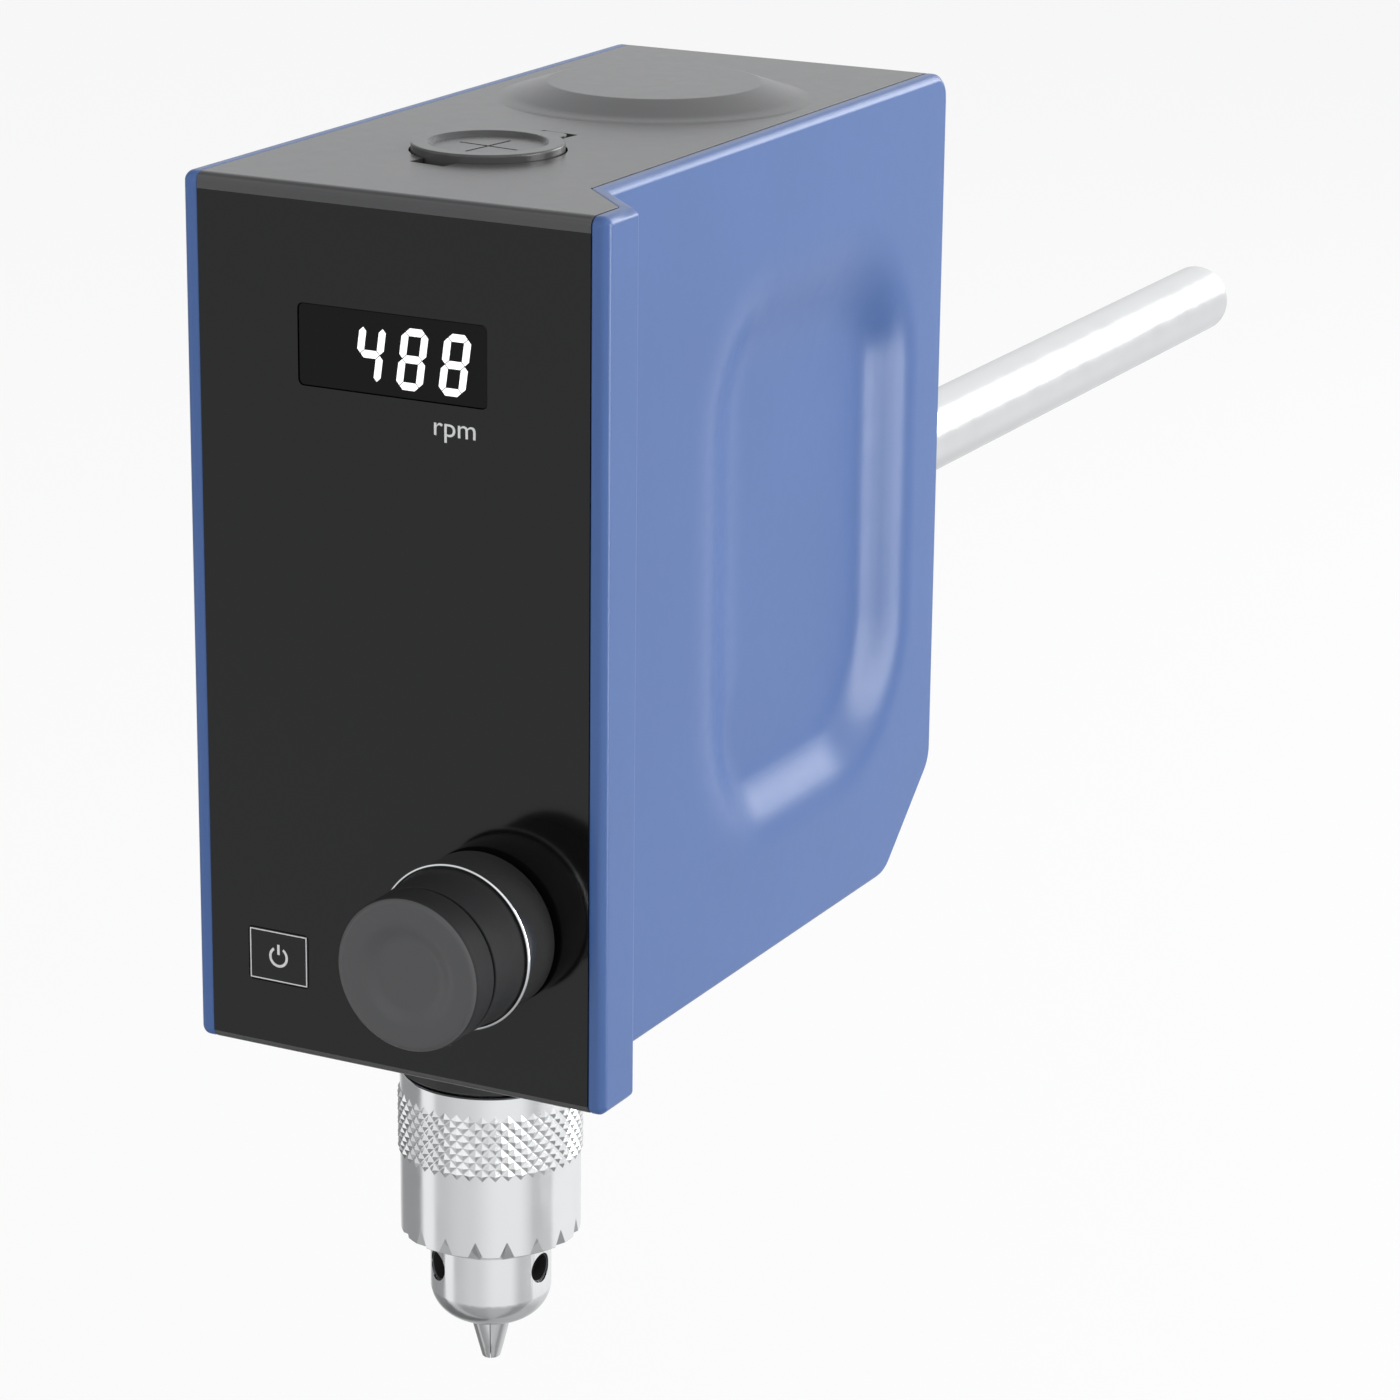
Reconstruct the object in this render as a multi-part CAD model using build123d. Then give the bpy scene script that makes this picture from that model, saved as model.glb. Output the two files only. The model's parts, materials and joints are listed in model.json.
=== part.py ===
from build123d import *
import os
from math import asin, atan2, cos, degrees, pi, radians, sin, tan

# Overhead stirrer: a slim casing held by a round arm, a hollow spindle with a keyed chuck below,
# a motor with a belt beside the spindle, and a display, a knob and a key on the front.
# The origin is on the spindle axis at the tip of the closed jaws. +Z up, the front faces -Y.

# ---------------------------------------------------------------- casing
front_reach = 35.4          # spindle axis to the front face
back_reach = 95.4           # spindle axis to the back face
casing_bottom = 59.6
casing_height = 129.1
half_width = 29.1           # spindle axis to either side wall
panel_width = 62.6          # front plate, wider than the casing to the right
shell_wall = 2.6
cover_wall = 2.4
flange_depth = 8.9          # side of the front flange, front to back
heel_depth = 16.8           # sloping heel at the back of the underside
heel_height = 15.0
front_corner = 1.5
back_corner = 4.0
heel_corner = 6.0
edge_bevel = 0.9
jog_angle = 45.0            # step from the flange back to the side wall
least_corner = 0.4
lip_depth = 2.0             # locating lip inside each side shell
lip_wall = 1.2
lip_gap = 0.1
rear_seam_drop = 7.0        # top cover comes this far down the back
base_seam_inset = 25.4      # back face to where the base cover ends and the rear cover begins

# grip recess in each side shell
grip_front = 14.0
grip_back_inset = 13.4      # back face to the recess
grip_low = 82.0
grip_top_drop = 20.7        # casing top to the recess
grip_depth = 5.0
grip_corner = 15.0
grip_front_slope = 19.5     # widths of the slopes round the floor
grip_back_slope = 5.5
grip_low_slope = 6.3
grip_high_slope = 13.5
grip_steps = 8

# ---------------------------------------------------------------- front plate
frame_thickness = 3.0
film_thickness = 0.8
film_bottom_margin = 1.3
film_top_margin = 2.3
window_left = -10.2
window_width = 30.2
window_height = 11.6
window_top_drop = 14.5      # film top to window top
window_recess = 0.25
window_corner = 0.8
key_left = -20.1
key_width = 10.0
key_height = 8.0
key_rise = 9.4              # film bottom to key bottom
key_corner = 0.6
key_travel = 0.4
key_stem = 4.0
key_gap = 0.12

# ---------------------------------------------------------------- knob and encoder
knob_x = 19.6
knob_rise = 24.0            # film bottom to knob axis
knob_press = 0.6
knob_panel_gap = 0.9
skirt_radius = 11.8
skirt_length = 7.6
skirt_wall = 1.6
skirt_edge = 0.4
ring_radius = 12.25
ring_length = 0.7
grip_base_radius = 11.6
grip_tip_radius = 11.2
grip_length = 7.8
cap_length = 5.1
cap_edge = 0.7
cap_dish_radius = 8.6
cap_dish_depth = 0.5
knob_hub_radius = 5.2
groove_width = 0.4
groove_depth = 0.35
encoder_side = 12.4
encoder_bush_radius = 3.5
encoder_bush_length = 4.6
encoder_shaft_radius = 3.0
encoder_rotor_radius = 4.6
encoder_rotor_length = 1.8
encoder_floor = 0.6         # wall behind the encoder's shaft
encoder_step = 0.5          # rotor's chamber to the end of the shaft's bore
encoder_play = 0.3
shaft_end_gap = 0.2
shaft_short = 1.0           # shaft's tip below the cap

# ---------------------------------------------------------------- boards
board_thickness = 1.6
board_gap = 5.8             # back of the front frame to the board
board_left = -22.0
board_right = 31.0
board_low = 70.0
board_top_drop = 10.4       # film top to the top of the board
standoff_radius = 2.8
standoff_inset = 4.0        # board's edge to a standoff's axis
board_screw_depth = 4.0
board_screw_head = 1.6
low_chip_x = -10.0
low_chip_z = 96.0
low_chip_side = 14.0
low_chip_height = 2.4
high_chip_x = 11.0
high_chip_z = 120.0
high_chip_side = 13.0
high_chip_height = 3.2
module_margin = 1.8
switch_side = 6.0
switch_height = 4.0
plunger_radius = 1.7
plunger_gap = 0.1           # pressed key to the switch's plunger

# ---------------------------------------------------------------- spindle and bearings
spindle_radius = 6.0
spindle_bore = 4.3
spindle_top_drop = 7.2      # casing top to the top of the spindle
bearing_radius = 12.0
bearing_width = 6.0
shield_depth = 0.5
running_fit = 0.05
press_gap = 0.02
nose_radius = 14.2
nose_bottom = 48.5
nose_edge = 0.5
spindle_edge = 0.4
seal_width = 1.7
seal_gap = 0.2
clip_width = 1.2
clip_radius = 7.6
clip_mouth = 2.4

# ---------------------------------------------------------------- frame inside the casing
plate_thickness = 4.0
plate_half_width = 24.0
plate_front = -20.0
column_radius = 14.0
column_bore = 9.0
column_foot_radius = 19.0
motor_plate_drop = 38.7     # casing top to the underside of the motor plate
motor_plate_half_width = 20.5
motor_plate_overhang = 2.0  # past the column
plate_bore_gap = 1.4        # round the spindle
round_head_radius = 2.45
round_head_height = 2.0
rear_frame_thickness = 3.8
rear_frame_half_width = 20.5
rear_frame_gap = 0.4        # motor to the rear frame

# ---------------------------------------------------------------- motor and belt
motor_radius = 20.0
motor_length = 62.0
motor_boss_radius = 8.0
motor_boss_height = 1.6
motor_shaft_radius = 2.5
motor_fin_count = 6
motor_fin_depth = 1.2
motor_fin_width = 3.0
motor_screw_depth = 6.0
motor_shaft_end = 4.0       # above the motor's underside
magnet_radius = 11.0
magnet_length = 42.0
magnet_rise = 9.5           # above the motor's underside
magnet_gap = 0.4
shaft_stand = 1.0           # motor shaft above its pulley
pulley_gap = 3.0            # motor plate to the pulleys
pulley_width = 10.0
pulley_flange = 1.0
pulley_lip = 1.4
driven_radius = 15.0
drive_radius = 7.5
belt_thickness = 1.6
belt_gap = 0.3
rib_count = 4
rib_depth = 0.6

# ---------------------------------------------------------------- chuck
jaw_angle = 15.5
jaw_radius = 2.3
jaw_tip_radius = 1.4
jaw_rise = 7.2              # jaw length below the nose
jaw_root_radius = 3.4       # jaw cone where it leaves the nose
jaw_top = 25.5
jaw_opening = 4.0           # half of the largest shank
jaw_split = 0.05
jaw_teeth = 16
jaw_pitch = 1.06
jaw_tooth_depth = 0.5
jaw_tooth_start = 0.75      # first groove below the jaw's top, in pitches
jaw_cone_run = 0.6          # cone's end above the nose
jaw_line_inset = 0.05
first_jaw_angle = -34.0     # from the front, towards +X
body_radius = 9.3
nose_shoulder = 12.3
nose_hole = 4.15
nose_bulge_out = 0.9
nose_bulge_down = 0.9
socket_floor = 37.0
body_top = 48.2
body_waist = 10.4
body_collar_radius = 12.45
body_collar_height = 5.0
sleeve_radius = 13.8
sleeve_top_gap = 0.1
sleeve_edge = 0.25
sleeve_bore = 12.5
sleeve_bottom = 20.2
sleeve_bottom_radius = 9.9
bevel_height = 2.0
tooth_count = 18
notch_rise = 2.5            # notch above the bevel, on the sleeve's wall
notch_slope = 50.0          # the notch's root runs down and inwards
notch_half_angle = 36.0
nut_bottom = 23.0
nut_height = 4.5
nut_radius = 12.0
nut_gap = 0.12
groove_radius = 7.6
nut_play = 0.1
nut_split = 0.3
key_hole_z = 16.8
key_hole_radius = 2.35
key_hole_depth = 2.7

# ---------------------------------------------------------------- top cover
dome_radius = 24.2
dome_top_radius = 16.4
dome_height = 2.5
dome_blend = 1.5
cap_radius = 11.1
cap_rise = 1.2
cap_flange = 2.4
cap_gap = 0.3
cap_bowl_radius = 8.8
cap_bowl_depth = 0.7
cap_plug_radius = 7.1
cap_plug_length = 4.0
cap_turn = 8.0              # the ear is turned this far from the back, towards +X
ear_width = 5.6
ear_reach = 16.2
ear_thickness = 1.4
pry_reach = 14.2
pry_width = 6.2
boss_radius = 14.5
boss_depth = 4.0
cross_length = 10.5
cross_width = 0.5
cross_depth = 0.3

# ---------------------------------------------------------------- arm and back
arm_radius = 6.5
arm_spigot_radius = 5.0     # turned-down end held in the rear frame
arm_z = 113.6
arm_reach = 283.6
arm_chamfer = 0.8
arm_socket_radius = 11.0
arm_hole_gap = 0.1
set_screw_radius = 2.5
set_screw_back = 7.0
set_screw_inset = 0.3
pillar_radius = 3.6
pillar_x = 16.8
pillar_length = 18.0        # rear frame to the rear cover
pillar_low = 88.0
pillar_drop = 6.0           # motor plate to the upper pillars
base_screw_front = 12.8     # spindle axis to the front base screws
base_screw_inset = 8.0
socket_z = 86.0
socket_barrel_radius = 5.4
socket_bore = 2.9
socket_pin = 1.0
socket_depth = 9.0
socket_box = 13.0
socket_length = 11.0
screw_radius = 1.5
screw_length = 10.0
screw_head_radius = 2.9
screw_gap = 0.05
hex_radius = 1.25

# ---------------------------------------------------------------- places worked out from the sizes
front = -front_reach
casing_top = casing_bottom + casing_height
inner_left = -half_width + shell_wall
inner_right = half_width - shell_wall
panel_right = inner_left + panel_width
flange_x = panel_right + shell_wall
flange_back = front + flange_depth
jog_back = flange_back + (flange_x - half_width) / tan(radians(jog_angle))
film_bottom = casing_bottom + film_bottom_margin
film_top = casing_top - film_top_margin
film_back = front + film_thickness
frame_back = front + frame_thickness
rear_seam = casing_top - rear_seam_drop
board_high = film_top - board_top_drop
window_top = film_top - window_top_drop
window_bottom = window_top - window_height
key_bottom = film_bottom + key_rise
knob_z = film_bottom + knob_rise
board_front = frame_back + board_gap
base_plate_z = casing_bottom + cover_wall
column_z = base_plate_z + plate_thickness
motor_plate_z = casing_top - motor_plate_drop
spindle_top = casing_top - spindle_top_drop
pulley_z = motor_plate_z + plate_thickness + pulley_gap
cover_top_inside = casing_top - cover_wall
tangent = tan(radians(jaw_angle))
jaw_span = jaw_radius / cos(radians(jaw_angle))
jaw_line = jaw_root_radius - jaw_line_inset - jaw_rise * tangent
jaw_travel = jaw_opening / sin(radians(jaw_angle))
jaw_lift = jaw_opening / tangent
bevel_top = sleeve_bottom + bevel_height
sleeve_top = body_top - sleeve_top_gap
nut_top = nut_bottom + nut_height
bearing_low = nose_bottom + seal_width + seal_gap
back_inside = back_reach - cover_wall
base_seam = back_reach - base_seam_inset
plate_back = back_inside - pillar_length
rear_frame_front = plate_back - rear_frame_thickness
motor_y = rear_frame_front - rear_frame_gap - motor_radius
pillar_high = motor_plate_z - pillar_drop
magnet_z = motor_plate_z - motor_length + magnet_rise


def block(x0, x1, y0, y1, z0, z1):
    """A box between two corners."""
    return Pos((x0 + x1) / 2, (y0 + y1) / 2, (z0 + z1) / 2) * Box(x1 - x0, y1 - y0, z1 - z0)


def rod(radius, z0, z1, x=0, y=0):
    """An upright cylinder."""
    return Pos(x, y, (z0 + z1) / 2) * Cylinder(radius, z1 - z0)


def bar(radius, y0, y1, x, z):
    """A cylinder along Y."""
    return Pos(x, (y0 + y1) / 2, z) * Rot(90, 0, 0) * Cylinder(radius, y1 - y0)


def turned(points):
    """A turned piece on the Z axis from (radius, height) points."""
    return revolve(Plane.XZ * make_face(Polyline(*points, close=True)), Axis.Z)


def turned_knob(points):
    """A turned piece on the knob's axis from (radius, distance in front of the film) points."""
    along = Plane(origin=(knob_x, front, knob_z), x_dir=(1, 0, 0), z_dir=(0, -1, 0))
    return along * turned(points)


def ring(outer, inner, z0, z1, x=0, y=0):
    """An upright ring."""
    return rod(outer, z0, z1, x, y) - rod(inner, z0 - 1, z1 + 1, x, y)


def side_outline(inset=0.0):
    """The casing seen from the side, on the YZ plane, with its sloping heel."""
    slope = atan2(heel_height, heel_depth)
    low = casing_bottom + inset
    high = casing_top - inset
    near = front + inset
    far = back_reach - inset
    heel_start = back_reach - heel_depth - inset * tan(slope / 2)
    heel_end = casing_bottom + heel_height + inset * tan((pi / 2 - slope) / 2)
    points = [(near, low), (heel_start, low), (far, heel_end), (far, high), (near, high)]
    radii = [front_corner, heel_corner, heel_corner, back_corner, front_corner]
    radii = [max(radius - inset, least_corner) for radius in radii]
    return Plane.YZ * make_face(FilletPolyline(*points, radius=radii, close=True))


def across(sketch, x0, x1):
    """A side outline made solid between two places across the casing."""
    return Pos(x0, 0, 0) * extrude(sketch, x1 - x0, dir=(1, 0, 0))


def right_path(inset):
    """The right wall seen from above: flange, slanting step and side."""
    shift = inset * tan(radians(jog_angle / 2))
    return [
        (flange_x - inset, front),
        (flange_x - inset, flange_back - shift),
        (half_width - inset, jog_back - shift),
        (half_width - inset, back_reach),
    ]


def upright(points, z0, z1):
    """A plan made solid between two heights."""
    return Pos(0, 0, z0) * extrude(make_face(Polyline(*points, close=True)), z1 - z0)


def grip_section(share):
    """One outline of the grip recess; share 0 is at the skin and 1 at its floor."""
    near = grip_front + grip_front_slope * share
    far = back_reach - grip_back_inset - grip_back_slope * share
    low = grip_low + grip_low_slope * share
    high = casing_top - grip_top_drop - grip_high_slope * share
    depth = grip_depth * (1 - cos(pi * share)) / 2
    place = Pos((near + far) / 2, (low + high) / 2, half_width - depth)
    return Plane.YZ * (place * RectangleRounded(far - near, high - low, grip_corner))


def grip_tool(offset):
    """The recess as a solid, moved inwards by the wall when it makes the bulge inside."""
    sections = [grip_section(step / grip_steps) for step in range(grip_steps + 1)]
    scoop = loft(sections)
    return Pos(-offset, 0, 0) * scoop


def loose_edges(faces):
    """Edges that belong to only one of the given faces."""
    edges = [edge for face in faces for edge in face.edges()]
    centres = [tuple(round(value, 3) for value in edge.center()) for edge in edges]
    return [edge for edge, centre in zip(edges, centres) if centres.count(centre) == 1]


def side_lip(x0, x1, start):
    """Lip that locates a side shell inside the covers."""
    inset = cover_wall + lip_gap
    loop = across(side_outline(inset), x0, x1) - across(side_outline(inset + lip_wall), x0, x1)
    return loop & block(x0, x1, start, back_reach, casing_bottom, casing_top)


def make_right_shell():
    plan = right_path(0) + right_path(shell_wall)[::-1]
    shell = upright(plan, casing_bottom, casing_top) & across(side_outline(), inner_right - 1, flange_x)
    facing = [face for face in shell.faces() if face.normal_at().X > cos(radians(60))]
    outside = [face for face in facing if face.area > half_width ** 2 / 2]
    shell = chamfer(loose_edges(outside), edge_bevel)
    bulge = grip_tool(shell_wall) & block(0, inner_right, front, back_reach, casing_bottom, casing_top)
    shell = shell + bulge - grip_tool(0)
    return shell + side_lip(inner_right - lip_depth, inner_right, jog_back + shell_wall)


def make_left_shell():
    wall = across(side_outline(), inner_right, half_width)
    outside = wall.faces().sort_by(Axis.X)[-1]
    wall = chamfer(outside.edges(), edge_bevel)
    bulge = grip_tool(shell_wall) & block(0, inner_right, front, back_reach, casing_bottom, casing_top)
    wall = wall + bulge - grip_tool(0)
    wall = wall + side_lip(inner_right - lip_depth, inner_right, frame_back + lip_wall)
    return mirror(wall, Plane.YZ)


def cover_band():
    """The grey band that runs round the casing between the side shells."""
    plan = [(inner_left, front)] + right_path(shell_wall) + [(inner_left, back_reach)]
    hoop = across(side_outline(), inner_left, panel_right)
    hoop = hoop - across(side_outline(cover_wall), inner_left - 1, panel_right + 1)
    return hoop & upright(plan, casing_bottom, casing_top)


def make_top_cover(band):
    keep = block(inner_left, panel_right, front, back_reach, film_top, casing_top)
    keep = keep + block(inner_left, panel_right, back_inside - back_corner, back_reach, rear_seam, casing_top)
    cover = band & keep
    dome_outside = [
        (0, casing_top - cover_wall),
        (dome_radius, casing_top - cover_wall),
        (dome_radius, casing_top),
        (dome_top_radius, casing_top + dome_height),
        (0, casing_top + dome_height),
    ]
    dome = Pos(0, motor_y, 0) * turned(dome_outside)
    rim = dome.edges().filter_by(GeomType.CIRCLE).sort_by(Axis.Z)[-1]
    dome = fillet(rim, dome_blend)
    dome_inside = [
        (0, casing_top - cover_wall - 1),
        (dome_radius - cover_wall, casing_top - cover_wall - 1),
        (dome_radius - cover_wall, casing_top - cover_wall),
        (dome_top_radius - cover_wall / 2, casing_top + dome_height - cover_wall),
        (0, casing_top + dome_height - cover_wall),
    ]
    cover = cover + dome - Pos(0, motor_y, 0) * turned(dome_inside)
    cover = cover + rod(boss_radius, cover_top_inside - boss_depth, cover_top_inside + cover_wall / 4)
    cover = cover - cap_pocket()
    return cover - rod(cap_plug_radius + cap_gap, spindle_top - 5, casing_top + 1)


def cap_pocket():
    """Round pocket in the top cover for the shaft cap, with a slot for its ear and a pry gap."""
    floor = casing_top + cap_rise - cap_flange - cap_gap / 3
    high = casing_top + 1
    pocket = rod(cap_radius + cap_gap, floor, high)
    ear_slot = block(-ear_width / 2 - cap_gap, ear_width / 2 + cap_gap, 0, ear_reach + 1, floor, high)
    pry = block(-pry_width / 2, pry_width / 2, -pry_reach, 0, floor, high)
    return pocket + Rot(0, 0, -cap_turn) * (ear_slot + pry)


def make_shaft_cap():
    high = casing_top + cap_rise
    low = high - cap_flange
    profile = [
        (0, low - cap_plug_length),
        (cap_plug_radius, low - cap_plug_length),
        (cap_plug_radius, low),
        (cap_radius, low),
        (cap_radius, high),
        (cap_bowl_radius, high),
        (cap_bowl_radius - cap_bowl_depth, high - cap_bowl_depth),
        (0, high - cap_bowl_depth),
    ]
    cap = turned(profile)
    rim = cap.edges().filter_by(GeomType.CIRCLE).group_by(Axis.Z)[-1]
    cap = fillet(rim, cap_bowl_depth / 2)
    ear = block(-ear_width / 2, ear_width / 2, cap_radius - 1, ear_reach, low, low + ear_thickness)
    ear = fillet(ear.edges().filter_by(Axis.Z).group_by(Axis.Y)[-1], ear_width / 3)
    cap = cap + Rot(0, 0, -cap_turn) * ear
    bowl_z = high - cap_bowl_depth
    for turn in (0, 90):
        slot = block(-cross_length / 2, cross_length / 2, -cross_width / 2, cross_width / 2,
                     bowl_z - cross_depth, bowl_z + 1)
        cap = cap - Rot(0, 0, turn - cap_turn) * slot
    return cap


def make_rear_cover(band):
    keep = block(inner_left, inner_right, base_seam, back_reach, casing_bottom, rear_seam)
    cover = band & keep
    cover = cover - bar(arm_spigot_radius + arm_hole_gap, back_inside - 1, back_reach + 1, 0, arm_z)
    cover = cover - bar(socket_barrel_radius + lip_gap, back_inside - 1, back_reach + 1, 0, socket_z)
    for x, z in rear_screw_places():
        cover = cover - back_screw(x, z, screw_gap)
    return cover


def make_base_cover(band):
    keep = block(inner_left, panel_right, frame_back, base_seam, casing_bottom, base_plate_z)
    cover = band & keep
    cover = cover - rod(nose_radius + lip_gap, casing_bottom - 1, base_plate_z + 1)
    for x, y in base_screw_places():
        cover = cover - base_screw(x, y, screw_gap)
    return cover


def rear_screw_places():
    return [(x, z) for x in (-pillar_x, pillar_x) for z in (pillar_low, pillar_high)]


def base_screw_places():
    depths = (-base_screw_front, base_seam - base_screw_inset)
    return [(x, y) for x in (-pillar_x, pillar_x) for y in depths]


def countersunk(gap=0.0):
    """A countersunk screw that points up, its head's face at height 0."""
    slope = screw_head_radius - screw_radius
    points = [
        (0, 0),
        (screw_head_radius + gap, 0),
        (screw_radius + gap, slope),
        (screw_radius + gap, screw_length),
        (0, screw_length),
    ]
    screw = turned(points)
    if gap == 0:
        screw = screw - Pos(0, 0, slope / 2) * extrude(RegularPolygon(hex_radius, 6), slope, both=True)
    return screw


def base_screw(x, y, gap=0.0):
    return Pos(x, y, casing_bottom) * countersunk(gap)


def back_screw(x, z, gap=0.0):
    return Pos(x, back_reach, z) * Rot(90, 0, 0) * countersunk(gap)


def window_block(gap, y0, y1):
    """The display window's outline, made solid between two depths."""
    shape = RectangleRounded(window_width + 2 * gap, window_height + 2 * gap, window_corner + gap)
    middle = ((2 * window_left + window_width) / 2, y0, (window_top + window_bottom) / 2)
    return extrude(Plane(origin=middle, x_dir=(1, 0, 0), z_dir=(0, 1, 0)) * shape, y1 - y0)


def key_block(gap, y0, y1):
    """The power key's outline, made solid between two depths."""
    shape = RectangleRounded(key_width + 2 * gap, key_height + 2 * gap, key_corner + gap)
    middle = (key_left + key_width / 2, y0, key_bottom + key_height / 2)
    return extrude(Plane(origin=middle, x_dir=(1, 0, 0), z_dir=(0, 1, 0)) * shape, y1 - y0)


def key_post(gap, y0, y1):
    """The stem behind the power key."""
    x = key_left + key_width / 2
    z = key_bottom + key_height / 2
    reach = key_stem / 2 + gap
    return block(x - reach, x + reach, y0, y1, z - reach, z + reach)


def standoff_places():
    low = knob_z + encoder_side
    high = board_high - standoff_inset
    sides = (board_left + standoff_inset, board_right - standoff_inset)
    return [(x, z) for x in sides for z in (low, high)]


def make_front_frame():
    frame = block(inner_left, panel_right, front, frame_back, casing_bottom, film_top)
    frame = frame & across(side_outline(), inner_left, panel_right)
    frame = frame - block(inner_left - 1, panel_right + 1, front - 1, film_back, film_bottom, film_top + 1)
    frame = frame - window_block(lip_gap, front - 1, frame_back + 1)
    frame = frame - key_block(key_gap, film_back - 1, film_back + 2 * key_travel)
    frame = frame - key_post(key_gap, film_back, frame_back + 1)
    frame = frame - bar(encoder_bush_radius + lip_gap, front - 1, frame_back + 1, knob_x, knob_z)
    for x, z in standoff_places():
        frame = frame + bar(standoff_radius, frame_back, board_front, x, z)
        low = board_front - board_screw_depth - lip_gap
        frame = frame - bar(screw_radius + screw_gap, low, board_front + 1, x, z)
    return frame


def make_front_film():
    film = block(inner_left, panel_right, front, film_back, film_bottom, film_top)
    film = film - window_block(lip_gap, front - 1, film_back + 1)
    film = film - key_block(key_gap, front - 1, film_back + 1)
    return film - bar(encoder_bush_radius + lip_gap, front - 1, film_back + 1, knob_x, knob_z)


def make_display_module():
    low = window_bottom - module_margin
    high = window_top + module_margin
    return block(window_left - module_margin, window_left + window_width + module_margin,
                 frame_back, board_front, low, high)


def make_power_key():
    return key_block(0, front, film_back) + key_post(0, film_back, frame_back + key_travel)


def make_key_switch():
    x = key_left + key_width / 2
    z = key_bottom + key_height / 2
    half = switch_side / 2
    top = frame_back + 2 * key_travel + plunger_gap
    switch = block(x - half, x + half, board_front - switch_height, board_front, z - half, z + half)
    return switch + bar(plunger_radius, top, board_front - switch_height, x, z)


def make_control_board():
    board = block(board_left, board_right, board_front, board_front + board_thickness, board_low, board_high)
    behind = board_front + board_thickness
    board = board + block(low_chip_x, low_chip_x + low_chip_side, behind, behind + low_chip_height,
                          low_chip_z, low_chip_z + low_chip_side)
    board = board + block(high_chip_x, high_chip_x + high_chip_side, behind, behind + high_chip_height,
                          high_chip_z, high_chip_z + high_chip_side)
    for x, z in standoff_places():
        board = board - bar(screw_radius + screw_gap, board_front - 1, behind + 1, x, z)
    return board


def board_screws():
    tip = board_front - board_screw_depth
    places = standoff_places()
    head = board_front + board_thickness
    return [bar(screw_radius, tip, head, x, z) + bar(screw_head_radius, head, head + board_screw_head, x, z)
            for x, z in places]


def rotor_places():
    """Front and back of the encoder's disc."""
    rotor_end = board_front - encoder_floor - encoder_step - encoder_play
    return rotor_end - encoder_rotor_length, rotor_end


def make_encoder():
    half = encoder_side / 2
    body = block(knob_x - half, knob_x + half, frame_back, board_front, knob_z - half, knob_z + half)
    body = body + bar(encoder_bush_radius, frame_back - encoder_bush_length, frame_back, knob_x, knob_z)
    body = body - bar(encoder_shaft_radius + running_fit, front - encoder_side, board_front - encoder_floor,
                      knob_x, knob_z)
    rotor_start, rotor_end = rotor_places()
    chamber = bar(encoder_rotor_radius + encoder_play, rotor_start - encoder_play, rotor_end + encoder_play,
                  knob_x, knob_z)
    return body - chamber


def make_encoder_rotor():
    rotor_start, rotor_end = rotor_places()
    disc = bar(encoder_rotor_radius, rotor_start, rotor_end, knob_x, knob_z)
    return disc - bar(encoder_shaft_radius + running_fit, front, board_front, knob_x, knob_z)


def make_encoder_shaft():
    tip = front - skirt_length - grip_length + shaft_short
    end = board_front - encoder_floor - knob_press - shaft_end_gap
    return bar(encoder_shaft_radius, tip, end, knob_x, knob_z)


def knob_steps():
    """Distances of the knob's rings in front of the film."""
    skirt_end = knob_panel_gap + skirt_length
    ring_end = skirt_end + ring_length
    grip_end = ring_end + grip_length
    return skirt_end, ring_end, grip_end, grip_end + cap_length


def make_knob_skirt():
    skirt_end, ring_end, grip_end, tip = knob_steps()
    inner = skirt_radius - skirt_wall
    profile = [(inner, knob_panel_gap), (skirt_radius - skirt_edge, knob_panel_gap),
               (skirt_radius, knob_panel_gap + skirt_edge), (skirt_radius, skirt_end),
               (knob_hub_radius + press_gap, skirt_end),
               (knob_hub_radius + press_gap, skirt_end - skirt_wall), (inner, skirt_end - skirt_wall)]
    return turned_knob(profile)


def make_knob_ring():
    skirt_end, ring_end, grip_end, tip = knob_steps()
    edge = ring_length / 3
    profile = [(skirt_radius - skirt_wall, skirt_end), (ring_radius - edge, skirt_end),
               (ring_radius, skirt_end + edge), (ring_radius, ring_end - edge),
               (ring_radius - edge, ring_end), (skirt_radius - skirt_wall, ring_end)]
    return turned_knob(profile)


def make_knob_grip():
    skirt_end, ring_end, grip_end, tip = knob_steps()
    bore = encoder_shaft_radius + press_gap
    hub_start = knob_panel_gap + skirt_wall
    inner = skirt_radius - skirt_wall - press_gap
    profile = [(bore, hub_start), (knob_hub_radius, hub_start), (knob_hub_radius, skirt_end),
               (inner, skirt_end), (inner, ring_end), (grip_base_radius, ring_end),
               (grip_tip_radius, grip_end - groove_width),
               (grip_tip_radius - groove_depth, grip_end - groove_width),
               (grip_tip_radius - groove_depth, grip_end), (bore, grip_end)]
    return turned_knob(profile)


def make_knob_cap():
    skirt_end, ring_end, grip_end, tip = knob_steps()
    profile = [(0, grip_end), (grip_tip_radius, grip_end), (grip_tip_radius, tip - cap_edge),
               (grip_tip_radius - cap_edge, tip), (cap_dish_radius, tip),
               (cap_dish_radius / 2, tip - cap_dish_depth), (0, tip - cap_dish_depth)]
    return turned_knob(profile)


def make_bearing(z0):
    """A shielded ball bearing."""
    inner = spindle_radius + running_fit
    outer = bearing_radius - press_gap
    high = z0 + bearing_width
    wall = (outer - inner) / 4
    profile = [(inner, z0), (inner + wall, z0), (inner + wall, z0 + shield_depth),
               (outer - wall, z0 + shield_depth), (outer - wall, z0), (outer, z0),
               (outer, high), (outer - wall, high), (outer - wall, high - shield_depth),
               (inner + wall, high - shield_depth), (inner + wall, high), (inner, high)]
    return turned(profile)


def make_seal():
    inner = spindle_radius + running_fit
    outer = bearing_radius - press_gap
    return ring(outer, inner, nose_bottom + seal_gap, nose_bottom + seal_gap + seal_width)


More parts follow.
